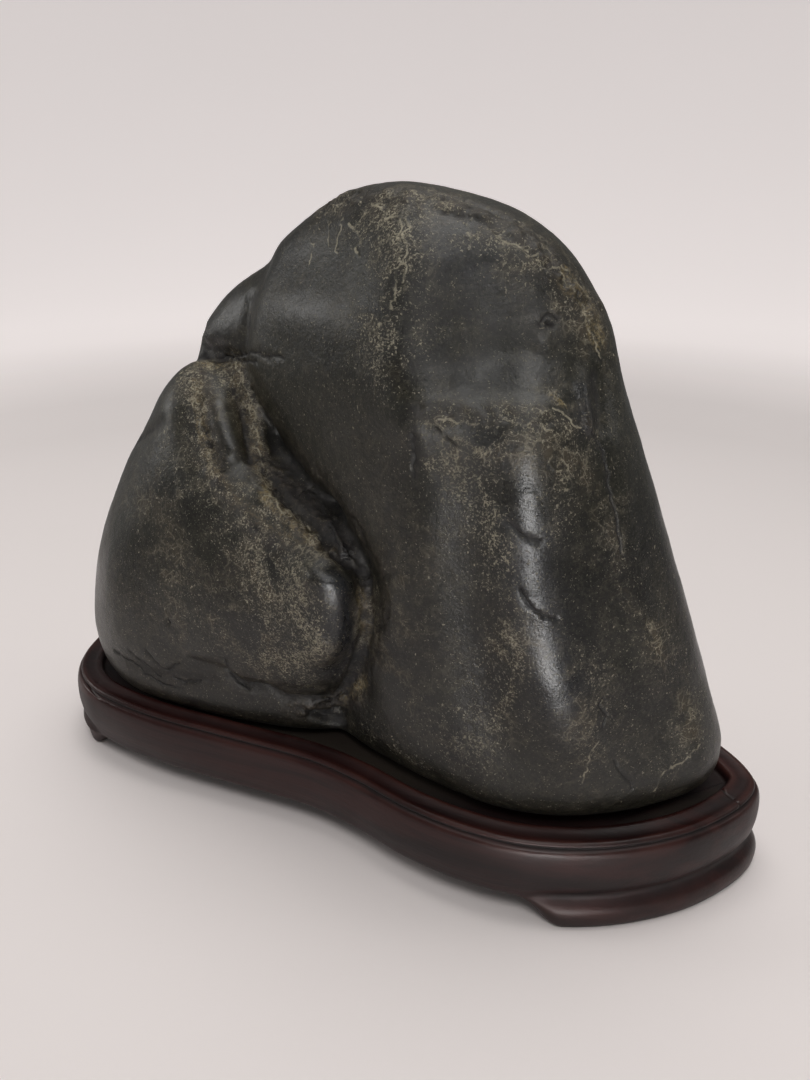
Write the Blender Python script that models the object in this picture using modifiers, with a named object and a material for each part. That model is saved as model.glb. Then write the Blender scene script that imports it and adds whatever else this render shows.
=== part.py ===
"""A scholar's rock: a dark, mountain-shaped stone that rests in the seat of its carved wooden stand.

Frame: metres, +Z up, origin on the ground under the middle of the stand. +X runs along the stand towards
the stone's high right-hand end, and -Y is the display side. The shapes are drawn in millimetres about a
point near the stand's middle, and both are moved together at the end so that the origin is exactly there.
The two nodes are "stone", which is lifted off the seat by a small gap, and "stand".
"""

import math

import bmesh
import bpy
import numpy as np
from mathutils import Matrix, Vector

MM = 0.001

# ---------------------------------------------------------------- driving dimensions
RIM_TOP = 30.0
SEAT_TOP = 26.6
SKIRT_BOTTOM = 8.2  # the lower edge of the stand's side between the feet
FOOT_DEPTH = 17.0  # how far a foot reaches in under the stand
REST_GAP = 0.3  # between the stone and the seat
STONE_TOP = 206.6
VOXEL = 2.0  # of the remesh that fuses the stone's masses
STONE_TRIANGLES = 6500
STAND_STATIONS = 76

BASE = SEAT_TOP + REST_GAP

# ---------------------------------------------------------------- the stone, as contour maps
# One row is one level: its height, then the plan of the contour there, from the right-hand tip round the
# front to the left and back again. PEAK turns at the tip, the right flank, the front ridge, the middle of the
# front, the seam, the hollow left face, the left end and three points of the back.
PEAK = [
    (BASE, (107, 2), (94, -16), (74, -28), (50, -32), (22, -27), (0, -19), (-30, -2), (-25, 24), (30, 31),
        (88, 25)),
    (32, (115, 2), (101, -19), (77, -34), (52, -38), (23, -32), (-2, -23), (-36, -4), (-30, 28), (30, 36),
        (93, 29)),
    (42, (117.5, 3), (103, -20), (78, -37), (52, -40.5), (23, -35), (-2, -24), (-38, -4), (-34, 30),
        (30, 38), (95, 30)),
    (57, (112.8, 3), (98, -20), (76, -38), (50, -40.5), (23, -36), (-5, -23), (-42, -3), (-38, 31),
        (28, 39), (91, 30)),
    (82, (103.5, 3), (90, -20), (68, -39), (46, -38), (23, -36), (-8, -21), (-46, -1), (-44, 32),
        (25, 39), (83, 29)),
    (112, (91.5, 3), (80, -20), (60, -37), (42, -36), (23, -35), (-11, -18), (-50, 3), (-48, 33),
        (20, 39), (74, 28)),
    (137, (81.8, 3), (73, -18), (58, -34), (42, -34), (23, -34), (-15, -16), (-56, 7), (-52, 33),
        (16, 38), (66, 26)),
    (150, (76, 4), (69, -15), (57, -30), (42, -31), (22, -33), (-18, -15), (-60, 9), (-54, 32), (14, 36),
        (62, 25)),
    (158, (73.3, 4), (67, -12), (56, -22), (41, -24), (20, -31), (-20, -13), (-61, 11), (-52, 31),
        (12, 35), (59, 24)),
    (170, (69.5, 4), (64, -9), (55, -16), (40, -18), (18, -28), (-21, -11), (-55, 12), (-47, 30),
        (12, 32), (55, 22)),
    (182, (62, 5), (58, -7), (50, -14), (38, -16), (17, -23), (-13, -8), (-43, 11), (-35, 26), (12, 28),
        (50, 19)),
    (190, (55, 6), (52, -5), (46, -12), (35, -15), (16, -18), (-8, -6), (-34, 9), (-28, 22), (12, 24),
        (44, 17)),
    (197, (45, 7), (43, -2), (38, -8), (29, -11), (15, -12), (-5, -4), (-23, 8), (-18, 18), (12, 19),
        (36, 15)),
    (203, (29, 7), (27, 1), (23, -3), (18, -5), (11, -5), (0, -1), (-12, 7), (-8, 12), (10, 14),
        (22, 12)),
    (STONE_TOP, (10, 7), (10, 6), (9, 5), (8, 4.5), (7, 4.5), (5, 5), (4, 7), (5, 8), (7, 9), (9, 8)),
]
# The lower hill on the left. Its first two points are the wall of the crevice and the crest above it, which
# runs down into the nose.
FOOTHILL = [
    (BASE, (-5, -8), (-11, -18), (-30, -24), (-60, -26), (-90, -23), (-108, -5), (-100, 15), (-60, 27),
        (-15, 18)),
    (32, (-2, -12), (-9, -23), (-28, -29), (-60, -31), (-93, -28), (-115, -8), (-108, 18), (-60, 31),
        (-15, 20)),
    (40, (-1, -16), (-8, -26), (-27, -31), (-62, -33), (-96, -29), (-119, -8), (-112, 19), (-60, 33),
        (-15, 20)),
    (49, (0, -20), (-8, -30), (-26, -32.5), (-62, -34), (-97, -29), (-120.5, -7), (-113, 19), (-60, 33),
        (-15, 20)),
    (62, (-2, -26), (-7, -34), (-22, -35), (-60, -34), (-96, -28), (-119, -5), (-111, 18), (-60, 33),
        (-15, 20)),
    (77, (3, -29), (-2, -38), (-18, -37), (-58, -33), (-94, -26), (-115.5, -4), (-108, 18), (-58, 32),
        (-15, 20)),
    (90, (4, -31), (-1, -38.5), (-18, -35), (-56, -31), (-90, -23), (-110.5, -3), (-103, 17), (-56, 31),
        (-16, 18)),
    (98, (2, -30), (-3, -37), (-20, -32.5), (-57, -29), (-87, -20.5), (-107, -2), (-100, 17), (-56, 30),
        (-18, 17)),
    (105, (-8, -22), (-12, -28), (-28, -29), (-58, -27), (-85, -18), (-103.5, -1), (-96, 17), (-56, 29),
        (-22, 15)),
    (114, (-20, -13), (-25, -20), (-38, -24), (-61, -24), (-82, -16), (-98.5, 0), (-91, 16), (-58, 28),
        (-34, 14)),
    (127, (-38, -5), (-43, -11), (-53, -16), (-66, -17), (-78, -11), (-90, 2), (-85, 14), (-64, 24),
        (-48, 10)),
    (138, (-48, -1), (-53, -6), (-60, -9), (-68, -11), (-76, -7), (-83, 3), (-78, 12), (-68, 19),
        (-56, 9)),
    (145, (-56, 0), (-59, -3), (-63, -5), (-68, -6), (-73, -3), (-77, 4), (-75, 10), (-68, 14), (-60, 7)),
    (149.5, (-66, 3), (-66, 2), (-67, 1), (-68, 0.5), (-69, 1), (-70, 3), (-69, 5), (-68, 6), (-66, 5)),
]
# The rounded shoulder behind them both.
SHOULDER = [
    (72, (-20, 4), (-46, 2), (-66, 12), (-66, 30), (-36, 36), (-10, 22)),
    (112, (-20, 4), (-48, 2), (-72, 12), (-72, 30), (-38, 38), (-10, 22)),
    (142, (-20, 4), (-50, 3), (-75, 13), (-73, 30), (-40, 38), (-10, 22)),
    (157, (-20, 4), (-50, 4), (-72, 14), (-70, 30), (-40, 37), (-10, 22)),
    (169, (-20, 6), (-47, 7), (-63, 15), (-60, 28), (-38, 34), (-12, 22)),
    (177, (-22, 9), (-42, 11), (-52, 16), (-49, 25), (-36, 29), (-16, 22)),
    (182, (-28, 14), (-34, 14), (-40, 17), (-39, 21), (-34, 23), (-26, 20)),
]
RING_POINTS = 96
LEVELS_BETWEEN = 4


def pchip(levels, values):
    """A monotone cubic through values at rising levels, as a function of the level. Values may be rows."""
    x = np.asarray(levels, float)
    y = np.asarray(values, float)
    step = np.diff(x)
    slope = np.diff(y, axis=0) / step.reshape(-1, *[1] * (y.ndim - 1))
    tangent = np.zeros_like(y)
    tangent[0] = slope[0]
    tangent[-1] = slope[-1]
    for i in range(1, len(x) - 1):
        first = 2 * step[i] + step[i - 1]
        second = step[i] + 2 * step[i - 1]
        rising = slope[i - 1] * slope[i] > 0
        safe = np.where(rising, slope[i - 1] * slope[i], 1)
        mean = (first + second) * safe / (first * slope[i] + second * slope[i - 1] + ~rising)
        tangent[i] = np.where(rising, mean, 0)

    def at(level):
        i = int(np.clip(np.searchsorted(x, level) - 1, 0, len(step) - 1))
        t = (level - x[i]) / step[i]
        ease = t * t * (3 - 2 * t)
        bend = step[i] * t * (1 - t) * ((1 - t) * (tangent[i] - slope[i]) - t * (tangent[i + 1] - slope[i]))
        return y[i] * (1 - t) + y[i + 1] * t + bend

    return at


def closed_curve(points, count):
    """A smooth closed curve through plan points, at a number of even steps of its length."""
    p = np.asarray(points, float)
    fine = []
    for i in range(len(p)):
        a, b, c, d = p[i - 1], p[i], p[(i + 1) % len(p)], p[(i + 2) % len(p)]
        linear = c - a
        square = 2 * a - 5 * b + 4 * c - d
        cube = 3 * b - a - 3 * c + d
        for t in np.linspace(0, 1, 24, endpoint=False):
            fine.append(b + (linear * t + square * t**2 + cube * t**3) / 2)
    fine = np.array(fine + [fine[0]])
    run = np.concatenate([[0], np.cumsum(np.linalg.norm(np.diff(fine, axis=0), axis=1))])
    at = np.linspace(0, run[-1], count, endpoint=False)
    return np.stack([np.interp(at, run, fine[:, k]) for k in (0, 1)], axis=1)


def loft(rings, name):
    """A closed mesh through a stack of equal rings of (x, y, z), with a face across each end."""
    bm = bmesh.new()
    loops = [[bm.verts.new([c * MM for c in point]) for point in ring] for ring in rings]
    count = len(loops[0])
    for lower, upper in zip(loops, loops[1:]):
        for k in range(count):
            n = (k + 1) % count
            bm.faces.new((lower[k], lower[n], upper[n], upper[k]))
    bm.faces.new(loops[0])
    bm.faces.new(loops[-1])
    bmesh.ops.recalc_face_normals(bm, faces=bm.faces)
    mesh = bpy.data.meshes.new(name)
    bm.to_mesh(mesh)
    bm.free()
    return mesh


def contour_loft(table, name):
    """The mass that a contour map describes."""
    levels = [row[0] for row in table]
    plan = pchip(levels, [row[1:] for row in table])
    heights = [levels[0]]
    for low, high in zip(levels, levels[1:]):
        for k in range(LEVELS_BETWEEN):
            heights.append(low + (high - low) * (k + 1) / LEVELS_BETWEEN)
    rings = []
    for z in heights:
        rings.append([(x, y, z) for x, y in closed_curve(plan(z), RING_POINTS)])
    return loft(rings, name)


# ---------------------------------------------------------------- the sculpting of the stone's surface
# Broad strokes lift the surface along its own normal near a line of points, or sink it if the lift is
# negative. Each gives its line, how wide it reaches to the left and to the right of it, and its lift.
BROAD_STROKES = {
    "nose": ([(-8, -33, 97), (0, -36, 92), (3, -38, 82), (0, -37, 72)], 9, 7, 1.5),
    "brow of the nose": ([(-10, -31, 100), (-2, -35, 98), (5, -37, 95)], 4, 4, 1.2),
    "knob in the crevice": ([(-52, -7, 140), (-50, -9, 134), (-46, -12, 127)], 3.5, 3.5, 2.6),
    "wedge in the crevice": ([(-4, -24, 108), (1, -28, 102)], 3, 3, 2.0),
    "seam": (
        [(12, -8, 203), (16, -20, 189), (17, -26, 176), (18, -31, 160), (24, -34, 149)],
        8, 6, 1.5,
    ),
    "hollow of the dish": (
        [(27, -22, 170), (38, -18, 169), (50, -17, 170), (56, -16, 172)],
        14, 10, -1.6,
    ),
    "brow of the dish": ([(24, -18, 189), (37, -16, 191), (50, -13, 188), (59, -8, 181)], 6, 6, 1.0),
    "edge of the ledge": (
        [(27, -33, 151), (37, -32, 152), (48, -31, 153), (60, -28, 153), (67, -23, 154)],
        4, 7, 1.8,
    ),
    "knob on the ledge": ([(64, -18, 162), (66, -21, 158), (68, -25, 153)], 3.5, 3.5, 2.6),
    "hollow beside the knob": ([(72, -9, 165), (72, -12, 158)], 4, 4, -1.8),
    "ridge under the ledge": ([(57, -33, 145), (58, -36, 134), (58, -38, 121)], 9, 9, 2.2),
    "ridge at the foot": (
        [(62, -39, 108), (64, -40, 97), (67, -40, 88), (70, -39, 78), (75, -38, 65)],
        8, 9, 2.6,
    ),
    "hollow left of the ridge": (
        [(47, -38, 130), (48, -40, 102), (50, -40, 82), (53, -40, 62)],
        9, 8, -1.6,
    ),
    "streak down the right flank": (
        [(75, -10, 143), (79, -15, 117), (87, -17, 97), (97, -16, 75)],
        6, 6, 1.2,
    ),
    "fold over the right foot": ([(104, -15, 68), (108, -13, 54), (111, -10, 42)], 5, 4, 1.6),
    "groove of the shoulder": (
        [(-43, 10, 182), (-43, 6, 172), (-45, 3, 161), (-49, 2, 153)],
        4, 6, -2.4,
    ),
    "groove over the crown": ([(20, 2, 205), (34, -1, 201), (47, 0, 196)], 3, 3, -0.9),
    "hollow of the back": ([(-30, 36, 62), (-10, 40, 97), (0, 38, 132)], 16, 16, -5.0),
    "rib of the back": ([(20, 40, 42), (28, 40, 82), (24, 38, 122), (18, 34, 162)], 11, 11, 3.0),
    "flat of the back": ([(62, 34, 62), (60, 32, 102), (52, 28, 142)], 16, 16, -3.0),
    "back of the hill": ([(-84, 26, 52), (-78, 26, 92), (-70, 24, 122)], 14, 14, 2.5),
}
# Cuts go straight into the stone from the display side, so they stay open however deep they run.
CUTS = {
    "crevice, top": (
        [(-68, 8, 152), (-55, 2, 151), (-45, -2, 146), (-39, -5, 137), (-35, -8, 128)],
        3.0, 3.0, 5.0,
    ),
    "crevice, middle": ([(-35, -8, 128), (-27, -12, 121), (-17, -16, 115), (-8, -20, 111)], 4.5, 3.0, 9.0),
    "crevice, mouth": ([(-8, -20, 111), (-2, -24, 106), (4, -27, 102), (8, -29, 96)], 4.5, 3.0, 8.0),
    "crevice, beside the nose": (
        [(8, -29, 96), (9, -31, 88), (9, -31, 78), (6, -30, 66), (0, -28, 52), (-7, -25, 40)],
        5.0, 3.0, 4.5,
    ),
    "under the hill's ledge": (
        [(-60, -32, 51), (-51, -33, 55), (-38, -34, 52), (-14, -34, 51), (2, -34, 57)],
        1.5, 9.0, 2.6,
    ),
    "pocket": ([(-9, -26, 40), (-5, -25, 39)], 3.0, 4.0, 4.0),
}
INTO = (-0.17, 0.98, -0.08)
CUT_REACH_Y = 16.0  # cuts fade out behind this


def beside_line(points, line, left, right):
    """For each point, its distance from a line of points as a share of the stroke's width on that side.
    Sides are as seen from the display side by someone following the line."""
    best = np.full(len(points), np.inf)
    for a, b in zip(line, line[1:]):
        along = b - a
        t = np.clip((points - a) @ along / (along @ along), 0, 1)
        offset = points - a - t[:, None] * along
        side = np.cross(along, offset) @ np.array(INTO)
        share = np.linalg.norm(offset, axis=1) / np.where(side < 0, left, right)
        best = np.minimum(best, share)
    return best


def vertex_arrays(mesh):
    """The vertices of a mesh, in millimetres, and their normals."""
    points = np.empty(len(mesh.vertices) * 3, np.float32)
    mesh.vertices.foreach_get("co", points)
    normals = np.empty(len(mesh.vertices) * 3, np.float32)
    mesh.vertices.foreach_get("normal", normals)
    return points.reshape(-1, 3).astype(float) / MM, normals.reshape(-1, 3).astype(float)


def move_vertices(mesh, points):
    points[:, 2] = np.maximum(points[:, 2], BASE)
    mesh.vertices.foreach_set("co", (points * MM).astype(np.float32).ravel())
    mesh.update()


def sculpt(mesh):
    """Applies the cuts and then the broad strokes to the mesh."""
    into = np.array(INTO) / np.linalg.norm(INTO)
    across = np.eye(3) - np.outer(into, into)
    for line, left, right, depth in CUTS.values():
        points, _ = vertex_arrays(mesh)
        share = beside_line(points @ across, np.array(line, float) @ across, left, right)
        front = np.clip((CUT_REACH_Y - points[:, 1]) / 8, 0, 1)
        points += into * (depth * front * np.exp(-(share**2)))[:, None]
        move_vertices(mesh, points)
    for line, left, right, lift in BROAD_STROKES.values():
        points, normals = vertex_arrays(mesh)
        share = beside_line(points, np.array(line, float), left, right)
        points += normals * (lift * np.exp(-(share**2)))[:, None]
        move_vertices(mesh, points)


def evaluated(obj, name):
    """A new mesh of the object with its modifiers applied, which then has none."""
    graph = bpy.context.evaluated_depsgraph_get()
    mesh = bpy.data.meshes.new_from_object(obj.evaluated_get(graph))
    mesh.name = name
    obj.modifiers.clear()
    obj.data = mesh
    return mesh


def make_stone(collection):
    bm = bmesh.new()
    for table, name in ((PEAK, "peak"), (FOOTHILL, "foothill"), (SHOULDER, "shoulder")):
        mass = contour_loft(table, name)
        bm.from_mesh(mass)
        bpy.data.meshes.remove(mass)
    whole = bpy.data.meshes.new("stone")
    bm.to_mesh(whole)
    bm.free()
    stone = bpy.data.objects.new("stone", whole)
    collection.objects.link(stone)
    fuse = stone.modifiers.new("fuse the masses", "REMESH")
    fuse.mode = "VOXEL"
    fuse.voxel_size = VOXEL * MM
    soften = stone.modifiers.new("soften the joins", "SMOOTH")
    soften.factor = 0.5
    soften.iterations = 6
    sculpt(evaluated(stone, "stone"))
    soften = stone.modifiers.new("soften the strokes", "SMOOTH")
    soften.factor = 0.5
    soften.iterations = 2
    count = len(stone.data.polygons) * 2
    thin = stone.modifiers.new("thin the mesh", "DECIMATE")
    thin.decimate_type = "COLLAPSE"
    thin.ratio = STONE_TRIANGLES / count
    evaluated(stone, "stone")
    return stone


# ---------------------------------------------------------------- the stand
# The plan of the stand's top edge, anticlockwise from the right-hand end. It follows the stone's foot: full
# at the front right, hollow at the front left of the middle.
OUTLINE = [
    (130, 3), (128, 12), (119, 22), (105, 31), (85, 40), (60, 45), (30, 46), (0, 43.5), (-30, 41), (-60, 42),
    (-90, 42), (-112, 35), (-125, 21), (-130, 8), (-129, -4), (-124.5, -17), (-115, -28), (-100, -35),
    (-75, -38.5), (-45, -38.5), (-12, -38), (8, -41), (28, -46.5), (48, -49), (68, -47.5), (90, -39.5),
    (110, -26), (124, -10),
]
# The section of the rim and the side, from the seat outwards and down, as outward offset from the outline
# and height.
RIM = [
    (-9.3, SEAT_TOP), (-9.0, 29.2), (-8.2, 29.9), (-6.5, RIM_TOP), (-4.2, 29.8), (-2.4, 29.7), (-1.3, 29.3),
    (-0.7, 28.7), (-1.3, 27.9), (-0.1, 27.5), (0.8, 26.0), (1.4, 22.0), (1.5, 18.0), (1.1, 14.0),
]
# Below the side, where there is no foot and where there is one: the lower edge and the underside, or the
# waist, the roll of the foot, its sole and its inner wall.
SKIRT = [
    (0.6, 11.0), (0.2, 9.6), (-0.3, 8.6), (-0.9, SKIRT_BOTTOM), (-2.2, SKIRT_BOTTOM), (-4.0, SKIRT_BOTTOM),
    (-12.0, SKIRT_BOTTOM), (-15.0, SKIRT_BOTTOM), (-FOOT_DEPTH, SKIRT_BOTTOM),
]
FOOT = [
    (-0.2, 10.8), (0.6, 9.2), (2.4, 7.2), (3.4, 4.6), (3.4, 1.8), (2.4, 0.0),
    (3.0 - FOOT_DEPTH, 0.0), (1.5 - FOOT_DEPTH, 1.2), (-FOOT_DEPTH, SKIRT_BOTTOM),
]
LEFT_FOOT_INSET = 3.0
# Each foot runs round one end of the stand. It starts at the first X and is whole at the second.
RIGHT_FOOT_FROM_X = (64.0, 79.0)
LEFT_FOOT_FROM_X = (-101.0, -112.0)
ROLL_TOP = 8.0  # below this the left foot is inset


def ease(t):
    t = np.clip(t, 0, 1)
    return t * t * (3 - 2 * t)


def outward(points):
    """The unit normals of an anticlockwise closed curve."""
    along = np.roll(points, -1, axis=0) - np.roll(points, 1, axis=0)
    normal = np.stack([along[:, 1], -along[:, 0]], axis=1)
    return normal / np.linalg.norm(normal, axis=1)[:, None]


def foot_share(plan, from_x):
    """How much of the foot there is at each station, from 0 to 1."""
    start, whole = from_x
    return ease((plan[:, 0] - start) / (whole - start))


def make_stand(collection):
    plan = closed_curve(OUTLINE, STAND_STATIONS)
    normal = outward(plan)
    left = foot_share(plan, LEFT_FOOT_FROM_X)
    foot = np.maximum(foot_share(plan, RIGHT_FOOT_FROM_X), left)
    rings = []
    for offset, z in RIM:
        rings.append([(*xy, z) for xy in plan + normal * offset])
    for (skirt_offset, skirt_z), (foot_offset, foot_z) in zip(SKIRT, FOOT):
        offset = skirt_offset + (foot_offset - skirt_offset) * foot
        if foot_z < ROLL_TOP:
            offset -= LEFT_FOOT_INSET * left
        height = skirt_z + (foot_z - skirt_z) * foot
        ring = plan + normal * offset[:, None]
        rings.append([(x, y, z) for (x, y), z in zip(ring, height)])
    stand = bpy.data.objects.new("stand", loft(rings, "stand"))
    collection.objects.link(stand)
    return stand


# ---------------------------------------------------------------- materials and the scene


def material(name, colour, roughness):
    made = bpy.data.materials.new(name)
    made.use_nodes = True
    shader = made.node_tree.nodes["Principled BSDF"]
    shader.inputs["Base Color"].default_value = (*colour, 1)
    shader.inputs["Roughness"].default_value = roughness
    return made


def clear_scene():
    for obj in list(bpy.data.objects):
        bpy.data.objects.remove(obj)


def stand_on_origin(stand, others):
    """Moves the meshes together, so that the stand's middle is over the origin."""
    corners = [Vector(corner) for corner in stand.bound_box]
    middle = (corners[0] + corners[6]) / 2
    move = Matrix.Translation((-middle.x, -middle.y, 0))
    for obj in (stand, *others):
        obj.data.transform(move)


def main():
    clear_scene()
    collection = bpy.data.collections.new("scholars_rock")
    bpy.context.scene.collection.children.link(collection)
    stone = make_stone(collection)
    stone.data.materials.append(material("polished_stone", (0.035, 0.038, 0.036), 0.35))
    stone.data.shade_smooth()
    stand = make_stand(collection)
    stand.data.materials.append(material("stained_wood", (0.06, 0.018, 0.016), 0.4))
    stand.data.shade_smooth()
    stand_on_origin(stand, [stone])


main()
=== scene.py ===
"""A scholar's rock on its wooden stand: the worn, waxed stone and the stained, hand-rubbed wood.

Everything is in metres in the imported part's own frame. Lines drawn on the stone are written in millimetres as
the display view shows them: (across, up) in the plane square to that view, and are laid on the surface from there.
"""

import math

import bmesh
import bpy
import numpy as np
from bpy.props import FloatProperty, FloatVectorProperty, IntProperty, PointerProperty
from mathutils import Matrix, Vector, noise
from mathutils.bvhtree import BVHTree


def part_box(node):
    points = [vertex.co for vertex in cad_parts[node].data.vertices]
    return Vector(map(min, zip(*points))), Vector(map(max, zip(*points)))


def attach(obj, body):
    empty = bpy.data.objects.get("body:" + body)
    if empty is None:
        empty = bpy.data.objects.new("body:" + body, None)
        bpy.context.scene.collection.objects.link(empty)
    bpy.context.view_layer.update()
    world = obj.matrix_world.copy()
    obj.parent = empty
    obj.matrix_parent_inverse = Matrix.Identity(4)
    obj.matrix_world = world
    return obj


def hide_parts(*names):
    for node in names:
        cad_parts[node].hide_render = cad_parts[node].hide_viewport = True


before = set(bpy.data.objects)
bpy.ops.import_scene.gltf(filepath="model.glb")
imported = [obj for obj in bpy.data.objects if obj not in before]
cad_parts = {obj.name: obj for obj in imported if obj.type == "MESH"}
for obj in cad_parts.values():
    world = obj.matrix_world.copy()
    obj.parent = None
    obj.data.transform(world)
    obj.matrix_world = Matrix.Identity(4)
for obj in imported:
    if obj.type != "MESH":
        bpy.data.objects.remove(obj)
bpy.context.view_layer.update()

bl_info = {
    "name": "Scholar's rock",
    "version": (1, 0, 0),
    "blender": (4, 5, 0),
    "location": "3D View > Sidebar > Scholar's rock",
    "description": "Makes a waxed scholar's rock, its carved stand and a plain studio for them",
    "category": "Add Mesh",
}

MM = 0.001

# ---------------------------------------------------------------- the display view
VIEW_TURN = math.radians(22)
VIEW_TILT = math.radians(25)
CAMERA_AT = (0.09986, -0.223445, 0.2105)
LENS = 27
SENSOR_HEIGHT = 36
INTO_VIEW = Vector(
    (-math.sin(VIEW_TURN) * math.cos(VIEW_TILT), math.cos(VIEW_TURN) * math.cos(VIEW_TILT), -math.sin(VIEW_TILT))
)
ACROSS_VIEW = Vector((math.cos(VIEW_TURN), math.sin(VIEW_TURN), 0))
UP_VIEW = ACROSS_VIEW.cross(INTO_VIEW)

# ---------------------------------------------------------------- the stone
# Without a seed the wandering lines and the crags would come out differently in each run.
NOISE_SEED = 1
# Rounds of smoothing all over, in the worn places, and where hollows are looked for; the least wear that counts.
SOFTEN_ROUNDS = 5
RUB_ROUNDS = 110
BLUR_ROUNDS = 25
LEAST_WEAR = 0.02
# How far round a crag or a drawn line the mesh is split finer.
CRAG_MESH_REACH = 5 * MM
LINE_MESH_REACH = 1.5 * MM
# How far a crack or a scar strays from its drawn line, in millimetres.
CRACK_WANDER = 0.9
SCAR_WANDER = 1.6
# What stands out by this height is painted as fully proud, and painted shade gathers up to this height round the foot.
PROUD_HEIGHT = 0.5 * MM
SHADED_FOOT = 5 * MM

# Forms cut or raised on its surface: (line, reach to its left, reach to its right, lift along the surface's normal),
# all in millimetres.
FORMS = {
    "crevice lip": ([(-36, 109), (-30, 101), (-25, 96.5), (-20, 91.5), (-15, 87)], 1.9, 1.9, -2.5),
    "crest strip, upper": ([(-62, 140), (-60, 130), (-56, 119), (-52, 108)], 2, 2, 0.6),
    "trough beside the knob": ([(-48, 137), (-44.5, 130), (-43, 121), (-41, 113)], 1.6, 1.6, -1.4),
    "knob": ([(-53, 130), (-50, 122), (-47, 116)], 4, 4, 2.4),
    "trough left of the knob": ([(-59, 134), (-57, 126), (-54, 117), (-50, 110)], 1.5, 1.5, -0.8),
    "ridge right of the knob": ([(-49, 145), (-42, 136), (-39, 127), (-37, 118), (-35, 110)], 1.8, 1.8, 0.7),
    "filled valley": ([(-40, 138), (-35, 129), (-31, 121)], 2.6, 2.6, 0.8),
    "ochre ledge": ([(-35, 101), (-29, 95), (-23, 90.5), (-18, 86)], 2.2, 2.2, 0.8),
    "folds below the wedge": ([(-17, 85), (-9, 80.5), (-3, 76)], 0.9, 0.9, -0.9),
    "wedge": ([(-14, 91), (-11, 85), (-9, 82)], 1.2, 1.2, 1.6),
    "under the wedge": ([(-20, 92), (-17, 87), (-13, 83), (-8, 80)], 1.1, 1.1, -1.6),
    "nose brow": ([(-19, 76), (-15, 75), (-11, 75), (-8, 74)], 2, 2.6, 0.9),
    "dent above the brow": ([(-22, 82), (-16, 80), (-9, 79)], 2.4, 2, -0.6),
    "nose's right edge": ([(-8, 73), (-6, 66), (-6, 59), (-9, 49), (-13, 41)], 2, 1.4, 0.7),
    "beside the nose": ([(-3, 76), (-2, 68), (-2, 60), (-4, 52), (-8, 43), (-13, 35)], 1.8, 3, -1.3),
    "hill's ledge": ([(-51, 45), (-46, 41), (-38, 41), (-31, 37), (-25, 37), (-18, 38), (-13, 41)], 1.8, 1.4, 0.6),
    "below the hill's ledge": ([(-52, 43), (-46, 38), (-38, 38), (-31, 34), (-24, 34), (-17, 35)], 1, 1.8, -1.1),
    "pocket": ([(-22, 28), (-17, 26), (-13, 25)], 1.4, 2.4, -2.2),
    "fold above the pocket": ([(-24, 31), (-17, 30), (-10, 32), (-5, 35)], 1.4, 1.4, 0.8),
    "lower left hollow": ([(-95, 43), (-84, 40), (-72, 37), (-60, 38)], 2.5, 4, -0.6),
    "notch": ([(-86, 124), (-80, 125), (-73, 127)], 2.2, 2.6, -0.9),
    "lump of the shoulder": ([(-59, 158), (-56, 153)], 2.4, 2.4, 0.9),
    "under the lump": ([(-61, 152), (-56, 149), (-50, 149)], 1, 1.2, -1),
    "crease of the shoulder": ([(-41, 166), (-42, 158), (-43, 150), (-45, 142)], 1.4, 2, -0.7),
    "groove on the crown, left": ([(-16, 184), (-13, 186), (-9, 186), (-4, 187)], 1, 1.4, -0.9),
    "groove on the crown": ([(12, 180), (20, 178), (28, 175), (36, 171)], 0.9, 1.2, -0.8),
    "second groove on the crown": ([(19, 173), (27, 171), (34, 167), (40, 163)], 0.9, 1.2, -0.7),
    "third groove on the crown": ([(33, 166), (40, 162), (47, 157), (54, 151)], 0.9, 1.2, -0.8),
    "foot of the dish's wall": ([(17, 144), (26, 144), (37, 143)], 9, 9, 1),
    "front of the shelf": ([(16, 129), (28, 131), (42, 132)], 4.5, 4.5, 0.5),
    "brow over the pit": ([(42, 147), (47, 147)], 1.6, 1.6, 0.5),
    "swell below the pit": ([(44.5, 138.5), (45.5, 137)], 2, 2, 0.8),
    "shelf swell, left": ([(20, 130), (24, 129)], 2.6, 2.6, 0.35),
    "shelf swell, middle": ([(38, 131), (42, 128)], 3.2, 3.2, 0.35),
    "shelf edge": ([(15, 123), (24, 121.5), (33, 122.5), (41, 121.5), (49, 123)], 1.8, 1.5, 0.12),
    "below the shelf edge": ([(16, 120), (25, 119), (34, 119.5), (43, 118), (51, 118)], 1.2, 1.8, -0.2),
    "knob of the ledge": ([(54.5, 127), (55, 122), (56, 117)], 2.1, 1.9, 1.7),
    "crease right of the knob": ([(59, 131), (60, 124), (60, 118)], 1.8, 1.5, -0.9),
    "loop on the ridge": ([(38, 97), (40, 99), (42, 97), (40, 95)], 0.9, 0.9, 0.35),
    "dimple in the loop": ([(40, 97), (40.5, 97)], 0.9, 0.9, -0.5),
    "swell of the upper ridge": ([(39, 104), (40, 97)], 8, 8, 0.4),
    "swell under the crack": ([(41, 83), (41.5, 79)], 6, 6, 0.5),
    "swell of the lower ridge": ([(51, 46), (52, 41)], 9, 9, 1.3),
    "lip of the long crack": ([(42, 70), (45, 67), (48, 66)], 1.2, 1.6, 0.4),
}
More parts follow.
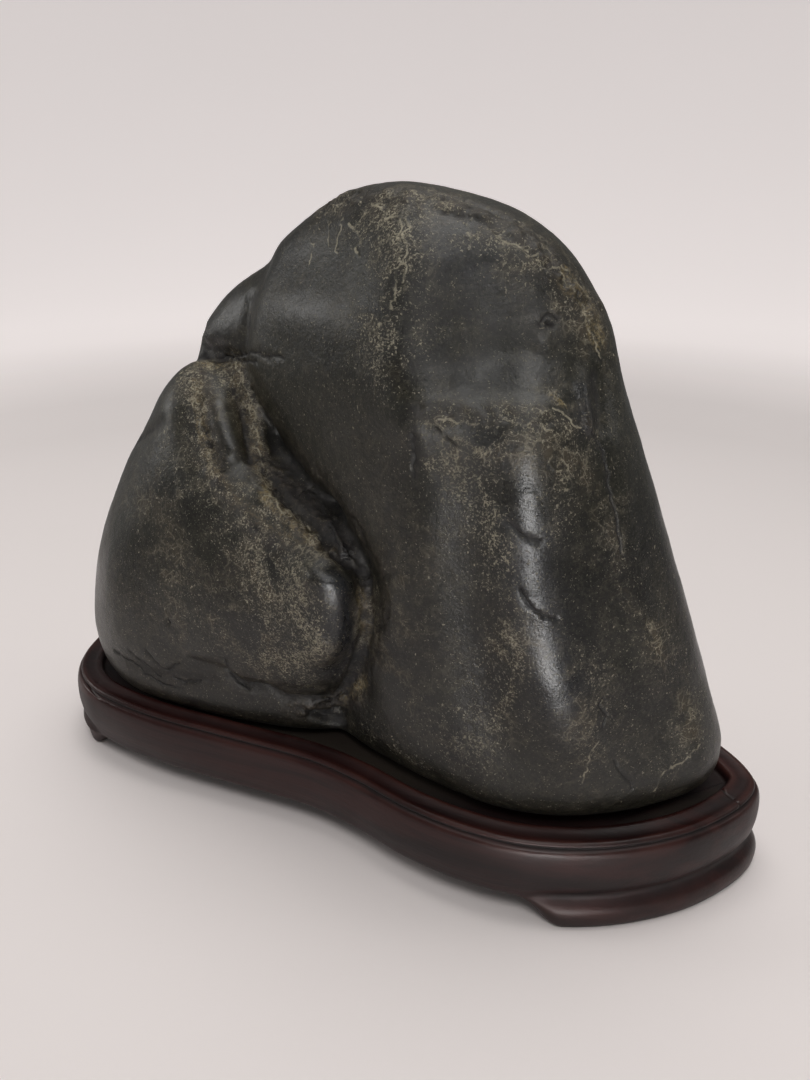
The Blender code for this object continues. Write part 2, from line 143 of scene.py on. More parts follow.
# Finer forms, which need a finer mesh: (line, reach, lift), in millimetres too, with a last -1 on the far side.
# Dark cracks sink and pale scars stand out a little.
CRACKS = {
    "crack on the upper ridge": ([(35, 92), (38, 89), (41, 87), (44, 87.5)], 0.5, -0.75),
    "curved crack": ([(39.5, 74), (40.5, 71), (43, 68.5), (46, 66.5), (49, 67)], 0.5, -0.85),
    "crack under the seam": ([(11, 115), (11.5, 110), (11, 104)], 0.45, -0.5),
    "short crack by the seam": ([(17, 116), (20, 113.5), (22, 112)], 0.4, -0.4),
    "crack by the crevice, upper": ([(-56, 150), (-49, 149.5), (-41, 148), (-35, 145), (-28, 143)], 0.4, -0.45),
    "crack by the crevice, lower": ([(-50, 151), (-46, 147), (-42, 146), (-38, 144)], 0.4, -0.4),
    "curl by the crevice": ([(-25, 102), (-23, 104), (-21, 104), (-20, 102.5)], 0.45, -0.55),
    "low crack 1": ([(-91, 47.5), (-86, 44), (-83, 42), (-79, 38)], 0.5, -0.45),
    "low crack 2": ([(-83, 48), (-80, 45), (-78, 42), (-75, 41), (-70, 44)], 0.45, -0.4),
    "low crack 3": ([(-99, 47), (-95, 45), (-91, 43), (-86, 40)], 0.45, -0.4),
    "low crack 4": ([(-52, 47), (-51.5, 43), (-49, 39), (-45, 36.5)], 0.5, -0.5),
    "low crack 5": ([(-74, 39), (-69, 37), (-63, 38)], 0.45, -0.35),
    "low crack 6": ([(-89, 42), (-84, 38.5), (-77, 35), (-70, 34)], 0.45, -0.35),
    "small pit": ([(-72, 60), (-71.5, 59.6)], 0.7, -0.7),
    "pit in the dish": ([(45.4, 143.2), (46.6, 143)], 0.8, -0.9),
    "crack of the back": ([(-30, 196), (-24, 176), (-27, 160), (-20, 142), (-24, 128)], 0.5, -0.6, -1),
    "crack low on the back": (
        [(50, 79), (46, 76.5), (41, 76), (36, 77.5), (31, 76.5), (26, 73), (20, 71)], 0.4, -0.4, -1,
    ),
    "crack of the hill's back": ([(-78, 120), (-70, 108), (-72, 96)], 0.45, -0.5, -1),
    "pit curl": ([(43.5, 143.2), (44.3, 145.3), (46.3, 146), (48, 144.6)], 0.38, -0.35),
    "crack over the foot": ([(64, 43), (63, 41), (66, 38), (65, 35)], 0.4, -0.4),
    "crack at the foot": ([(69, 24), (72, 20), (76, 14)], 0.45, -0.45),
    "crack of the right flank": ([(58, 116), (61, 111), (63, 104), (65, 95), (68, 84)], 0.4, -0.35),
    "wedge outline": ([(-14.5, 92), (-12.5, 87), (-10.5, 82.5), (-7.5, 82), (-10, 86)], 0.45, -0.6),
    "under the nose": ([(-11, 36), (-16, 33), (-22, 33)], 0.5, -0.5),
}
SCARS = {
    "long scar of the seam": ([(7.5, 176), (8, 168), (7, 160), (7, 153), (5.5, 147)], 0.31, 0.1),
    "second scar of the seam": ([(10, 175), (9.5, 168), (8.5, 161), (9, 154)], 0.31, 0.1),
    "curl on the crown": ([(0, 180), (3, 176), (4, 172.5), (7, 172), (10, 176)], 0.35, 0.12),
    "curl left of the seam": ([(-7, 175.5), (-5, 174), (-3, 171), (-5, 168), (-4, 165)], 0.43, 0.15),
    "hair scar 1": ([(-13, 180), (-13, 176), (-14, 172)], 0.27, 0.08),
    "hair scar 2": ([(-8, 178), (-10, 174), (-11, 169)], 0.27, 0.08),
    "hair scar 3": ([(-18, 176), (-19, 172), (-19, 168)], 0.27, 0.08),
    "ring under the ledge": (
        [(46, 107), (47.5, 108.5), (49.5, 108.5), (51, 106.5), (50.5, 104.8), (48.5, 104.3), (47, 105), (46, 107)],
        0.31, 0.12,
    ),
    "second ring": ([(49, 102), (50.5, 103), (52, 102), (51.5, 100.5), (50, 100)], 0.3, 0.1),
    "scar at the foot": ([(84, 13), (87, 18), (94, 22), (97, 26)], 0.31, 0.1),
    "second scar at the foot": ([(60, 16), (61, 24), (63, 30)], 0.27, 0.08),
    "scar in the dish": ([(26, 171), (25.5, 165), (24.5, 161)], 0.27, 0.08),
    "shoulder curl 1": ([(33, 165), (37, 163.5), (40, 160.5), (43, 160)], 0.3, 0.08),
    "shoulder curl 2": ([(45, 157), (49, 157), (51, 153.5), (54, 152)], 0.3, 0.08),
    "shoulder curl 3": ([(55, 149), (57, 145), (58.5, 140), (60, 136)], 0.32, 0.1),
    "shoulder curl 4": ([(50, 159), (54, 154), (58, 150)], 0.3, 0.08),
    "ledge curl 1": ([(17, 118.5), (22, 117), (28, 118)], 0.3, 0.08),
    "ledge curl 2": ([(33, 118.5), (38, 116.5), (43, 117), (46, 115)], 0.3, 0.1),
    "ledge curl 3": ([(47, 121), (50, 119), (54, 116.5)], 0.3, 0.08),
    "crest curl 1": ([(-49, 148), (-45, 141), (-43, 136), (-42, 129)], 0.32, 0.1),
    "crest curl 2": ([(-41, 126), (-39.5, 118), (-38, 112), (-34, 105)], 0.32, 0.1),
    "crest curl 3": ([(-61, 138), (-59, 130), (-57, 121)], 0.3, 0.08),
    "ledge edge": ([(-35, 103), (-30, 97), (-24, 93), (-18, 88)], 0.32, 0.1),
}
# Where each finish shows: (line, reach, strength), painted on to the surface round the line. A last -1 puts it on
# the far side.
GRIT = [
    ([(-60, 148), (-54, 144), (-50, 138)], 4, 0.9),
    ([(-3, 176), (6, 172), (6, 160), (4, 148), (3, 137)], 9, 0.8),
    ([(-12, 184), (4, 180), (20, 176), (34, 170)], 6, 0.7),
    ([(26, 168), (38, 161), (48, 155), (56, 148)], 7, 0.65),
    ([(8, 160), (12, 148), (16, 140)], 7, 0.25),
    ([(14, 118), (30, 118), (48, 116), (56, 112)], 6, 0.6),
    ([(20, 108), (30, 98), (34, 88), (36, 78)], 9, 0.8),
    ([(50, 104), (48, 96), (44, 88)], 7, 0.55),
    ([(40, 62), (36, 50), (32, 38), (28, 28)], 8, 0.85),
    ([(60, 50), (62, 40), (62, 30)], 9, 0.4),
    ([(96, 40), (92, 30), (86, 20)], 8, 0.3),
    ([(66, 92), (70, 78), (78, 64), (88, 50)], 6, 0.35),
    ([(-57, 122), (-50, 106), (-40, 95), (-30, 88)], 6, 0.85),
    ([(-64, 143), (-60, 132), (-56, 120)], 5, 0.9),
    ([(-50, 146), (-44, 136), (-40, 124)], 4, 0.6),
    ([(26, 113), (30, 106)], 7, 0.7),
    ([(-26, 74), (-20, 63), (-20, 53), (-26, 45)], 10, 1),
    ([(-44, 92), (-36, 80), (-33, 64), (-36, 50)], 11, 0.65),
    ([(-64, 72), (-60, 60), (-54, 54)], 11, 0.3),
    ([(-72, 118), (-66, 108), (-60, 100)], 8, 0.35),
    ([(0, 74), (0, 64), (-4, 52), (-6, 40)], 5, 0.5),
    ([(-14, 28), (0, 22), (16, 14)], 5, 0.3),
    ([(-10, 190), (0, 170), (10, 150)], 14, 0.6, -1),
    ([(40, 150), (52, 120), (60, 96)], 13, 0.55, -1),
    ([(-70, 110), (-56, 90), (-44, 76)], 13, 0.6, -1),
    ([(-6, 104), (10, 92), (28, 90)], 14, 0.4, -1),
]
EARTH = [
    ([(-60, 147), (-54, 146), (-48, 146)], 5, 0.85),
    ([(8, 174), (6, 160), (4, 148)], 7, 0.35),
    ([(-60, 140), (-56, 118), (-46, 102), (-36, 93), (-24, 87)], 6, 0.75),
    ([(-35, 102), (-29, 96.5), (-23, 91.5), (-17, 86.5)], 5, 1),
    ([(-5, 71), (-4, 64), (-3, 56)], 3.6, 1),
    ([(-12, 34), (-8, 37), (-4, 42)], 4, 1),
    ([(51, 157), (56, 150), (58, 146), (59, 141)], 4, 1),
    ([(-48, 141), (-42.5, 130), (-40.5, 120), (-38, 111), (-35, 104)], 4.2, 1),
    ([(-60, 140), (-58.5, 130), (-56, 119), (-52, 110)], 4.2, 0.95),
    ([(-40, 84), (-34, 70), (-36, 56)], 14, 0.5),
    ([(-28, 78), (-22, 66), (-20, 54)], 11, 0.4),
    ([(0, 60), (4, 48), (8, 38)], 8, 0.35),
    ([(-6, 182), (14, 178), (34, 170), (52, 156), (58, 146)], 7, 0.6),
    ([(50, 154), (57, 148), (60, 140)], 6, 0.85),
    ([(16, 120), (32, 119), (48, 117)], 4, 0.6),
    ([(46, 124), (50, 122)], 3, 0.8),
    ([(24, 110), (34, 112), (54, 108), (62, 96), (66, 84)], 8, 0.45),
    ([(64, 92), (68, 79), (74, 68), (82, 56), (91, 46), (94, 30)], 4, 0.6),
    ([(38, 58), (34, 44), (30, 32)], 8, 0.5),
    ([(54, 44), (58, 30), (60, 20)], 9, 0.35),
    ([(-34, 120), (-30, 112), (-26, 106)], 7, 0.3),
    ([(-60, 66), (-50, 58), (-36, 60)], 12, 0.35),
    ([(-78, 102), (-70, 86), (-64, 72), (-58, 60)], 17, 0.3),
    ([(12, 90), (10, 76), (6, 62)], 9, 0.3),
    ([(-34, 190), (-26, 168), (-24, 140), (-28, 120)], 8, 0.6, -1),
    ([(30, 180), (44, 160), (50, 130)], 11, 0.45, -1),
    ([(-66, 80), (-40, 70), (-10, 74), (20, 66)], 9, 0.5, -1),
]
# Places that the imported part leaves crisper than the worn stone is.
SOFT = [
    ([(7, 184), (7, 170), (6, 158), (5, 146), (6, 134), (9, 124)], 9, 0.4),
    ([(20, 176), (26, 164), (34, 152), (42, 146)], 12, 0.4),
    ([(12, 150), (20, 140), (34, 138), (48, 140)], 8, 0.35),
    ([(14, 120), (26, 119), (40, 119), (52, 119)], 6, 0.5),
    ([(-42, 143), (-36, 131), (-30, 120), (-21, 110), (-12, 100), (-4, 87)], 6, 0.5),
    ([(-3, 82), (0, 74), (0, 64), (-1, 56), (-5, 44), (-10, 36)], 5, 0.5),
    ([(38, 112), (39.5, 98), (41, 80), (44, 66), (48, 52), (50, 40)], 11, 1),
    ([(-36, 82), (-28, 80), (-22, 78)], 8, 1, -1),
]
CRAG = [
    ([(-61, 146), (-58, 134), (-56, 122), (-52, 110), (-46, 100), (-36, 90), (-26, 86)], 4.5, 0.8),
    ([(-50, 146), (-44, 136), (-41, 122), (-38, 110), (-31, 99), (-22, 91), (-14, 84)], 4, 1),
    ([(-38, 114), (-32, 108.5), (-26, 103.5), (-20, 98), (-14, 92), (-9, 85)], 5.5, 1),
    ([(-24, 113), (-15, 104), (-7, 94), (-2, 84)], 5, 0.5),
    ([(2, 80), (3, 68), (1, 56), (-4, 42)], 3.5, 0.5),
    ([(-17, 85), (-9, 80), (-3, 76)], 2.5, 0.8),
    ([(-4, 72), (-3, 62), (-5, 50), (-10, 38), (-18, 28)], 3.5, 0.9),
    ([(-28, 30), (-18, 30), (-8, 34)], 4, 0.8),
    ([(-60, 158), (-54, 151)], 5, 0.5),
    ([(-92, 42), (-80, 38), (-66, 38), (-52, 40), (-40, 36)], 4, 0.45),
    ([(-14, 186), (2, 181), (20, 177), (36, 169), (50, 157), (58, 148)], 6, 0.7),
    ([(14, 120), (30, 119), (46, 118), (56, 118)], 3, 0.5),
    ([(36, 60), (33, 46), (29, 34), (24, 24)], 5, 0.3),
    ([(-32, 196), (-25, 176), (-26, 156), (-22, 136), (-26, 122)], 7, 0.6, -1),
    ([(-80, 124), (-70, 106), (-56, 90)], 6, 0.5, -1),
    ([(-40, 72), (-10, 76), (20, 70), (50, 80)], 6, 0.4, -1),
]
# Bluish places: the stone's own blue-grey, and a painted sheen, lighter and bluish, round the highlights on the ridge,
# in the dish, on the shelf, the knobs, the wedge and the nose's side.
COOL_AND_SHEEN = [
    ([(12, 166), (20, 162), (26, 158)], 9, 0.5),
    ([(26, 156), (38, 148), (46, 142)], 10, 0.2),
    ([(18, 134), (30, 132), (44, 130)], 7, 0.2),
    ([(55, 127), (56, 117)], 3, 0.7),
    ([(28, 112), (36, 108), (40, 100)], 6, 0.4),
    ([(41, 88), (41, 78), (45, 64), (52, 46)], 8, 0.65),
    ([(-12, 74), (-9, 66), (-9, 56), (-12, 46)], 5.5, 1),
    ([(-53, 130), (-50, 122), (-47, 116)], 3.2, 0.25),
    ([(-60, 150), (-56, 156)], 4, 0.5),
    ([(-14, 92), (-10, 84)], 2.5, 0.9),
    ([(10, 40), (20, 26), (30, 16)], 8, 0.15),
]
SHINE = [
    ([(20, 130), (25, 129)], 3, 0.6),
    ([(39, 131), (44, 130)], 4, 0.7),
    ([(55, 127), (55.5, 122), (56, 117)], 2.6, 1),
    ([(38, 106), (40, 91)], 5.5, 1),
    ([(41, 85), (41, 82)], 4, 0.8),
    ([(43, 65), (47, 54), (50, 46)], 6, 1),
    ([(-19, 77), (-13, 74), (-8, 72)], 4, 0.9),
    ([(-9, 66), (-10, 56), (-14, 48)], 4, 0.7),
    ([(-53, 130), (-50, 122), (-48, 117)], 2.8, 1),
    ([(-60, 158), (-55, 153)], 4, 0.8),
    ([(6, 132), (8, 126)], 3, 0.8),
    ([(44.5, 138.5), (45.5, 137)], 2, 0.8),
    ([(-14, 90), (-10, 83)], 2.5, 0.8),
]
# Darkened places: painted shade in the crevice, the troughs and creases, the dish, on the shelf and low on the front,
# and dirt.
DIRT_AND_SHADE = [
    ([(-38, 114), (-32, 108.5), (-26, 103.5), (-20, 98), (-14, 92), (-9, 85)], 2.2, 1),
    ([(-48, 137), (-44.5, 130), (-43, 121), (-41, 113)], 1.3, 0.9),
    ([(-57, 126), (-54, 117), (-50, 110)], 1, 0.6),
    ([(-37, 110), (-31, 105), (-24, 99), (-20, 94), (-14, 86)], 2.6, 1),
    ([(-17, 85), (-9, 80), (-3, 76)], 1.2, 0.8),
    ([(-36, 122), (-29, 112), (-22, 103), (-14, 95), (-8, 87), (-4, 79)], 3.2, 0.85),
    ([(-28, 101), (-22, 97), (-16, 94), (-8, 88)], 3, 0.9),
    ([(-8, 88), (-4, 80), (-2, 76)], 2.5, 0.7),
    ([(-4, 52), (-7, 44), (-12, 36)], 2.8, 0.9),
    ([(-22, 29), (-14, 25)], 3, 1),
    ([(-52, 42), (-44, 38), (-32, 34), (-20, 35)], 1.6, 0.6),
    ([(-92, 43), (-80, 40), (-66, 40), (-54, 40)], 3, 0.45),
    ([(-86, 124), (-78, 126)], 1.6, 0.9),
    ([(-61, 152), (-52, 149)], 1.8, 0.9),
    ([(57, 129), (58, 120)], 1.8, 0.7),
    ([(11, 122), (11, 112)], 1.8, 0.6),
    ([(14, 148), (26, 145), (38, 143)], 7, 0.45),
    ([(18, 131), (30, 131), (36, 131)], 6, 0.4),
    ([(8, 50), (16, 38), (26, 26), (38, 16)], 9, 0.35),
    ([(-52, 128), (-49, 119)], 3, 0.3),
]

# ---------------------------------------------------------------- the stand
# The plan of its top edge in millimetres, anticlockwise from the right-hand end, about the point it was drawn on.
DRAWN_ABOUT = (-0.94, 1.455)
OUTLINE = [
    (130, 3), (128, 12), (119, 22), (105, 31), (85, 40), (60, 45), (30, 46), (0, 43.5), (-30, 41), (-60, 42),
    (-90, 42), (-112, 35), (-125, 21), (-130, 8), (-129, -4), (-124.5, -17), (-115, -28), (-100, -35),
    (-75, -38.5), (-45, -38.5), (-12, -38), (8, -41), (28, -46.5), (48, -49), (68, -47.5), (90, -39.5),
    (110, -26), (124, -10),
]
SEAT_TOP = 26.6
SEAT_BORDER = 1.2
# Half the length and half the width, in metres, of the oval that is painted as the bare seat.
SEAT_SPAN = (0.118, 0.036)
# From the seat outwards and down: offset from the outline, height, how worn it is there, and how dark: painted shade
# on the seat's inner wall, in the hollow of the ledge and in the groove.
RIM = [
    (-9.3, 26.7, 0, 0.8), (-9.25, 27.6, 0, 0.6), (-9.1, 28.6, 0.1, 0.3), (-8.8, 29.3, 0.4, 0),
    (-8.3, 29.8, 0.8, 0), (-7.7, 30, 1, 0), (-7.1, 29.9, 0.7, 0), (-6.4, 29.6, 0.2, 0.1),
    (-5.5, 29.3, 0, 0.3), (-4.5, 29.2, 0, 0.35), (-3.6, 29.3, 0.1, 0.2), (-2.9, 29.6, 0.5, 0),
    (-2.3, 29.8, 1, 0), (-1.7, 29.7, 0.9, 0), (-1.25, 29.4, 0.6, 0), (-0.95, 29, 0.2, 0.2),
    (-0.95, 28.6, 0, 0.7), (-1.2, 28.3, 0, 1), (-1.45, 28.1, 0, 1), (-1.2, 27.9, 0, 0.9),
    (-0.7, 27.8, 0.3, 0.3), (-0.2, 27.65, 0.9, 0), (0.2, 27.3, 1, 0), (0.55, 26.7, 0.6, 0),
    (0.9, 25.6, 0.2, 0), (1.2, 24, 0, 0), (1.4, 22, 0, 0), (1.5, 20, 0, 0),
    (1.5, 18, 0, 0), (1.35, 16, 0, 0), (1.1, 14, 0, 0),
]
# Below the side: the plain edge between the feet, and the waist, roll and sole of a foot, ring by ring.
SKIRT = [
    (0.8, 12.5), (0.6, 11.3), (0.45, 10.4), (0.3, 9.8), (0.1, 9.3), (-0.1, 8.9), (-0.35, 8.6), (-0.7, 8.35),
    (-1.2, 8.2), (-2, 8.2), (-3, 8.2), (-5, 8.2), (-12, 8.2), (-15, 8.2), (-17, 8.2),
]
FOOT = [
    (0.5, 12.5), (0, 11.4), (-0.1, 10.5), (0.15, 9.7), (0.7, 9), (1.5, 8.3), (2.4, 7.3), (3, 6.2),
    (3.35, 4.9), (3.4, 3.4), (3.3, 1.8), (2.8, 0.6), (2, 0), (-14, 0), (-17, 8.2),
]
FOOT_WORN = [0, 0, 0, 0, 0.1, 0.4, 0.8, 0.7, 0.3, 0.1, 0.1, 0.5, 0, 0, 0]
# How dark each ring of a foot is painted: shade in its waist and at the edge of its sole.
FOOT_SHADE = [0, 0.3, 0.6, 0.5, 0.2, 0, 0, 0, 0, 0, 0, 0.3, 0, 0, 0]
# The left foot's roll is drawn in by this much below the roll's top. Each foot grows out between two places along x.
LEFT_FOOT_INSET = 3
RIGHT_FOOT_FROM_X = (64, 79)
LEFT_FOOT_FROM_X = (-101, -112)
ROLL_TOP = 8
# Cracks and nicks of the wood: (points, reach, lift), in millimetres.
WOOD_CRACKS = {
    "crack across the rim": ([(114, 3, 29), (117, 1, 30), (119.5, -1.5, 30), (122, -3, 29.6)], 0.45, -0.6),
    "crack down the end": ([(123, -4.5, 29.5), (126, -6, 28), (128, -7, 24), (128.5, -7, 19)], 0.4, -0.5),
    "nick at the left": ([(-107, -27, 30), (-106.4, -27.4, 30)], 0.8, -0.6),
    "scratch at the left": ([(-112, -27, 28.5), (-107, -31, 28), (-101, -34, 27.6)], 0.4, -0.35),
}
WOOD_MESH_REACH = 2 * MM

# ---------------------------------------------------------------- the studio, in metres
# The backdrop starts at the floor's edge, lies flat out to its own radius, and curves up from there.
FLOOR_RINGS = [0, 0.2, 0.35, 0.5]
BACKDROP_RINGS = [0.5, 0.6, 0.75]
BACKDROP_CURVE = 1.1
BACKDROP_TOP = 3
GLOW_FADE = 0.5
SKY_COLOUR = (1, 0.985, 0.97)
# Where each lamp hangs, what it is aimed at, its size and its colour.
LAMPS = {
    "window": ((0.22, -0.47, 0.92), (0.02, 0, 0.14), (0.4, 0.36), (1, 0.99, 0.975)),
    "low_lamp": ((0.25, -0.5, 0.075), (0.05, 0, 0.09), (0.46, 0.15), (1, 0.99, 0.98)),
    "top": ((0, 0.22, 1.15), (0, 0, 0), (1, 0.7), (1, 0.985, 0.96)),
    "side": ((-0.85, -0.12, 0.4), (0, 0, 0.12), (0.3, 0.4), (1, 0.985, 0.96)),
    "edge": ((0.75, 0.29, 0.5), (0, 0, 0.12), (0.2, 0.2), (1, 0.985, 0.96)),
}
LOW_LAMP_SPREAD = math.radians(45)


# ---------------------------------------------------------------- the settings


def length(name, description, default, least, most):
    """A size in metres."""
    return FloatProperty(
        name=name, description=description, default=default, min=least, max=most, precision=5, unit="LENGTH",
    )


def tint(name, description, default):
    """A colour."""
    return FloatVectorProperty(
        name=name, description=description, default=default, subtype="COLOR", size=3, min=0, max=1,
    )


def power(name, description, default):
    """The power of a lamp in watts."""
    return FloatProperty(name=name, description=description, default=default, min=0, max=200, unit="POWER")


class StoneSettings(bpy.types.PropertyGroup):
    """Sizes and colours of the stone."""

    grain: length("Surface grain", "Size of the mesh that carries the carved forms", 1.65 * MM, 0.8 * MM, 4 * MM)
    swell: length("Swell", "Height of the soft unevenness of the whole surface", 0.30 * MM, 0, 2 * MM)
    roughcast: length("Roughcast", "Height of the small lumps where the skin is gritty", 0.16 * MM, 0, 1 * MM)
    crag: length("Crags", "Height of the broken rock beside the crevice and under the nose", 0.90 * MM, 0, 3 * MM)
    body: tint("Body", "Colour of the smooth stone", (0.0145, 0.0142, 0.0095))
    deep: tint("Deep", "Colour of its darker clouds", (0.0055, 0.0053, 0.0043))
    # The bluish colour is partly the stone's own and partly a painted sheen round the highlights.
    cool: tint("Cool_and_sheen", "Colour of the bluish places", (0.0300, 0.0320, 0.0390))
    earth: tint("Earth", "Colour of the brown stains", (0.075, 0.055, 0.030))
    ochre: tint("Ochre", "Colour of the yellow patches by the crevice", (0.25, 0.19, 0.085))
    grit: tint("Grit", "Colour of the pale specks and scars", (0.36, 0.325, 0.235))
    bark: tint("Bark", "Colour of the broken rock of the crags", (0.023, 0.0155, 0.0130))
    # Painted shade in the crevice, the hollows and the creases, dirt, and the cracks take this colour.
    dirt: tint("Dirt_and_shade", "Colour in the crevice and the cracks", (0.0045, 0.0030, 0.0034))


class StandSettings(bpy.types.PropertyGroup):
    """Sizes and colours of the stand."""

    stations: IntProperty(
        name="Stations", description="Steps round the outline", default=420, min=76, max=800,
    )
    wood: tint("Wood", "Colour of the stained wood", (0.0300, 0.0082, 0.0072))
    vein: tint("Vein", "Colour of its darker veins", (0.0085, 0.0024, 0.0024))
    worn: tint("Worn", "Colour where hands have rubbed the stain", (0.042, 0.013, 0.010))
    seat: tint("Seat", "Colour of the bare wood of the seat", (0.050, 0.040, 0.026))
    # Painted shade in the grooves, the hollow, the waist and the seat's wall, and the cracks take this colour.
    dirt: tint("Dirt_and_shade", "Colour in the grooves and the cracks", (0.005, 0.0025, 0.0025))


class StageSettings(bpy.types.PropertyGroup):
    """The studio."""

    floor: tint("Floor", "Colour of the floor and the curve behind it", (0.84, 0.78, 0.77))
    radius: length("Floor radius", "Radius of the flat floor, before the backdrop curves up", 0.9, 0.8, 5)
    glow: FloatProperty(
        name="Backdrop glow", description="How much the backdrop is lit from behind", default=0.50, min=0, max=2,
    )
    sky: FloatProperty(
        name="Sky", description="Strength of the even light from all round", default=0.20, min=0, max=5,
    )
    window: power("Window", "Power of the light in front, high and to the right", 2.85)
    low_lamp: power("Low lamp", "Power of the low light that the polished ridge reflects", 0.28)
    top: power("Top light", "Power of the wide light above", 6.2)
    side: power("Side light", "Power of the weak light from the left", 1.2)
    edge: power("Edge light", "Power of the weak light behind and to the right", 0.35)


class RockSettings(bpy.types.PropertyGroup):
    """Everything a user can change."""

    stone: PointerProperty(type=StoneSettings)
    stand: PointerProperty(type=StandSettings)
    stage: PointerProperty(type=StageSettings)


# ---------------------------------------------------------------- node trees


class Finish:
    """A material that is built step by step; every method returns the socket it made."""

    def __init__(self, name):
        self.material = bpy.data.materials.new(name)
        self.material.use_nodes = True
        self.tree = self.material.node_tree
        self.shader = self.tree.nodes["Principled BSDF"]
        self.place = self.tree.nodes.new("ShaderNodeTexCoord").outputs["Object"]

    def put(self, socket, value):
        if isinstance(value, bpy.types.NodeSocket):
            self.tree.links.new(value, socket)
        elif isinstance(value, (int, float)):
            socket.default_value = value
        elif len(value) == len(socket.default_value):
            socket.default_value = value
        else:
            socket.default_value = (*value, 1)

    def math(self, operation, a, b=0.0, clamp=False):
        node = self.tree.nodes.new("ShaderNodeMath")
        node.operation = operation
        node.use_clamp = clamp
        self.put(node.inputs[0], a)
        self.put(node.inputs[1], b)
        return node.outputs[0]

    def plus(self, a, b, clamp=False):
        return self.math("ADD", a, b, clamp)

    def most(self, a, b, clamp=False):
        return self.math("MAXIMUM", a, b, clamp)

    def times(self, a, b, clamp=False):
        return self.math("MULTIPLY", a, b, clamp)

    def step(self, value, low, high, start=0.0, end=1.0):
        """A smooth rise from start to end as the value goes from low to high."""
        node = self.tree.nodes.new("ShaderNodeMapRange")
        node.interpolation_type = "SMOOTHSTEP"
        self.put(node.inputs["Value"], value)
        for name, number in (("From Min", low), ("From Max", high), ("To Min", start), ("To Max", end)):
            node.inputs[name].default_value = number
        return node.outputs["Result"]

    def mix(self, share, a, b):
        node = self.tree.nodes.new("ShaderNodeMix")
        node.data_type = "RGBA"
        self.put(node.inputs[0], share)
        self.put(node.inputs[6], a)
        self.put(node.inputs[7], b)
        return node.outputs[2]

    def painted(self, name):
        node = self.tree.nodes.new("ShaderNodeAttribute")
        node.attribute_name = name
        return node.outputs["Fac"]

    def stretched(self, scale, turn=(0, 0, 0)):
        node = self.tree.nodes.new("ShaderNodeMapping")
        node.inputs["Scale"].default_value = scale
        node.inputs["Rotation"].default_value = turn
        self.tree.links.new(self.place, node.inputs["Vector"])
        return node.outputs["Vector"]

    def noise(self, scale, detail=3.0, rough=0.5, distortion=0.0, at=None):
        node = self.tree.nodes.new("ShaderNodeTexNoise")
        self.put(node.inputs["Vector"], at or self.place)
        for name, value in (("Scale", scale), ("Detail", detail), ("Roughness", rough), ("Distortion", distortion)):
            node.inputs[name].default_value = value
        return node.outputs["Fac"]

    def bent(self, scale, reach):
        """The place, pushed about by noise."""
        noisy = self.tree.nodes.new("ShaderNodeTexNoise")
        self.put(noisy.inputs["Vector"], self.place)
        noisy.inputs["Scale"].default_value = scale
        noisy.inputs["Detail"].default_value = 3
        push = self.tree.nodes.new("ShaderNodeVectorMath")
        push.operation = "MULTIPLY_ADD"
        self.put(push.inputs[0], noisy.outputs["Color"])
        self.put(push.inputs[1], (reach, reach, reach))
        self.put(push.inputs[2], self.place)
        return push.outputs["Vector"]

    def net(self, scale, width, at):
        """The thin walls between irregular cells: 1 on a wall."""
        node = self.tree.nodes.new("ShaderNodeTexVoronoi")
        node.feature = "DISTANCE_TO_EDGE"
        self.put(node.inputs["Vector"], at)
        node.inputs["Scale"].default_value = scale
        return self.step(node.outputs["Distance"], 0.0, width, 1.0, 0.0)

    def curls(self, scale, width, detail=1.5, distortion=0.6):
        """Thin curling lines, where a noise crosses its middle value: 1 on a line."""
        off = self.math("ABSOLUTE", self.math("SUBTRACT", self.noise(scale, detail, 0.5, distortion), 0.5))
        return self.step(off, 0.0, width, 1.0, 0.0)

    def bump(self, height, distance, strength=1.0, under=None):
        node = self.tree.nodes.new("ShaderNodeBump")
        node.inputs["Strength"].default_value = strength
        node.inputs["Distance"].default_value = distance
        self.put(node.inputs["Height"], height)
        if under:
            self.put(node.inputs["Normal"], under)
        return node.outputs["Normal"]

    def finish(self, colour, roughness, normal):
        self.put(self.shader.inputs["Base Color"], colour)
        self.put(self.shader.inputs["Roughness"], roughness)
        self.put(self.shader.inputs["Normal"], normal)
        return self.material


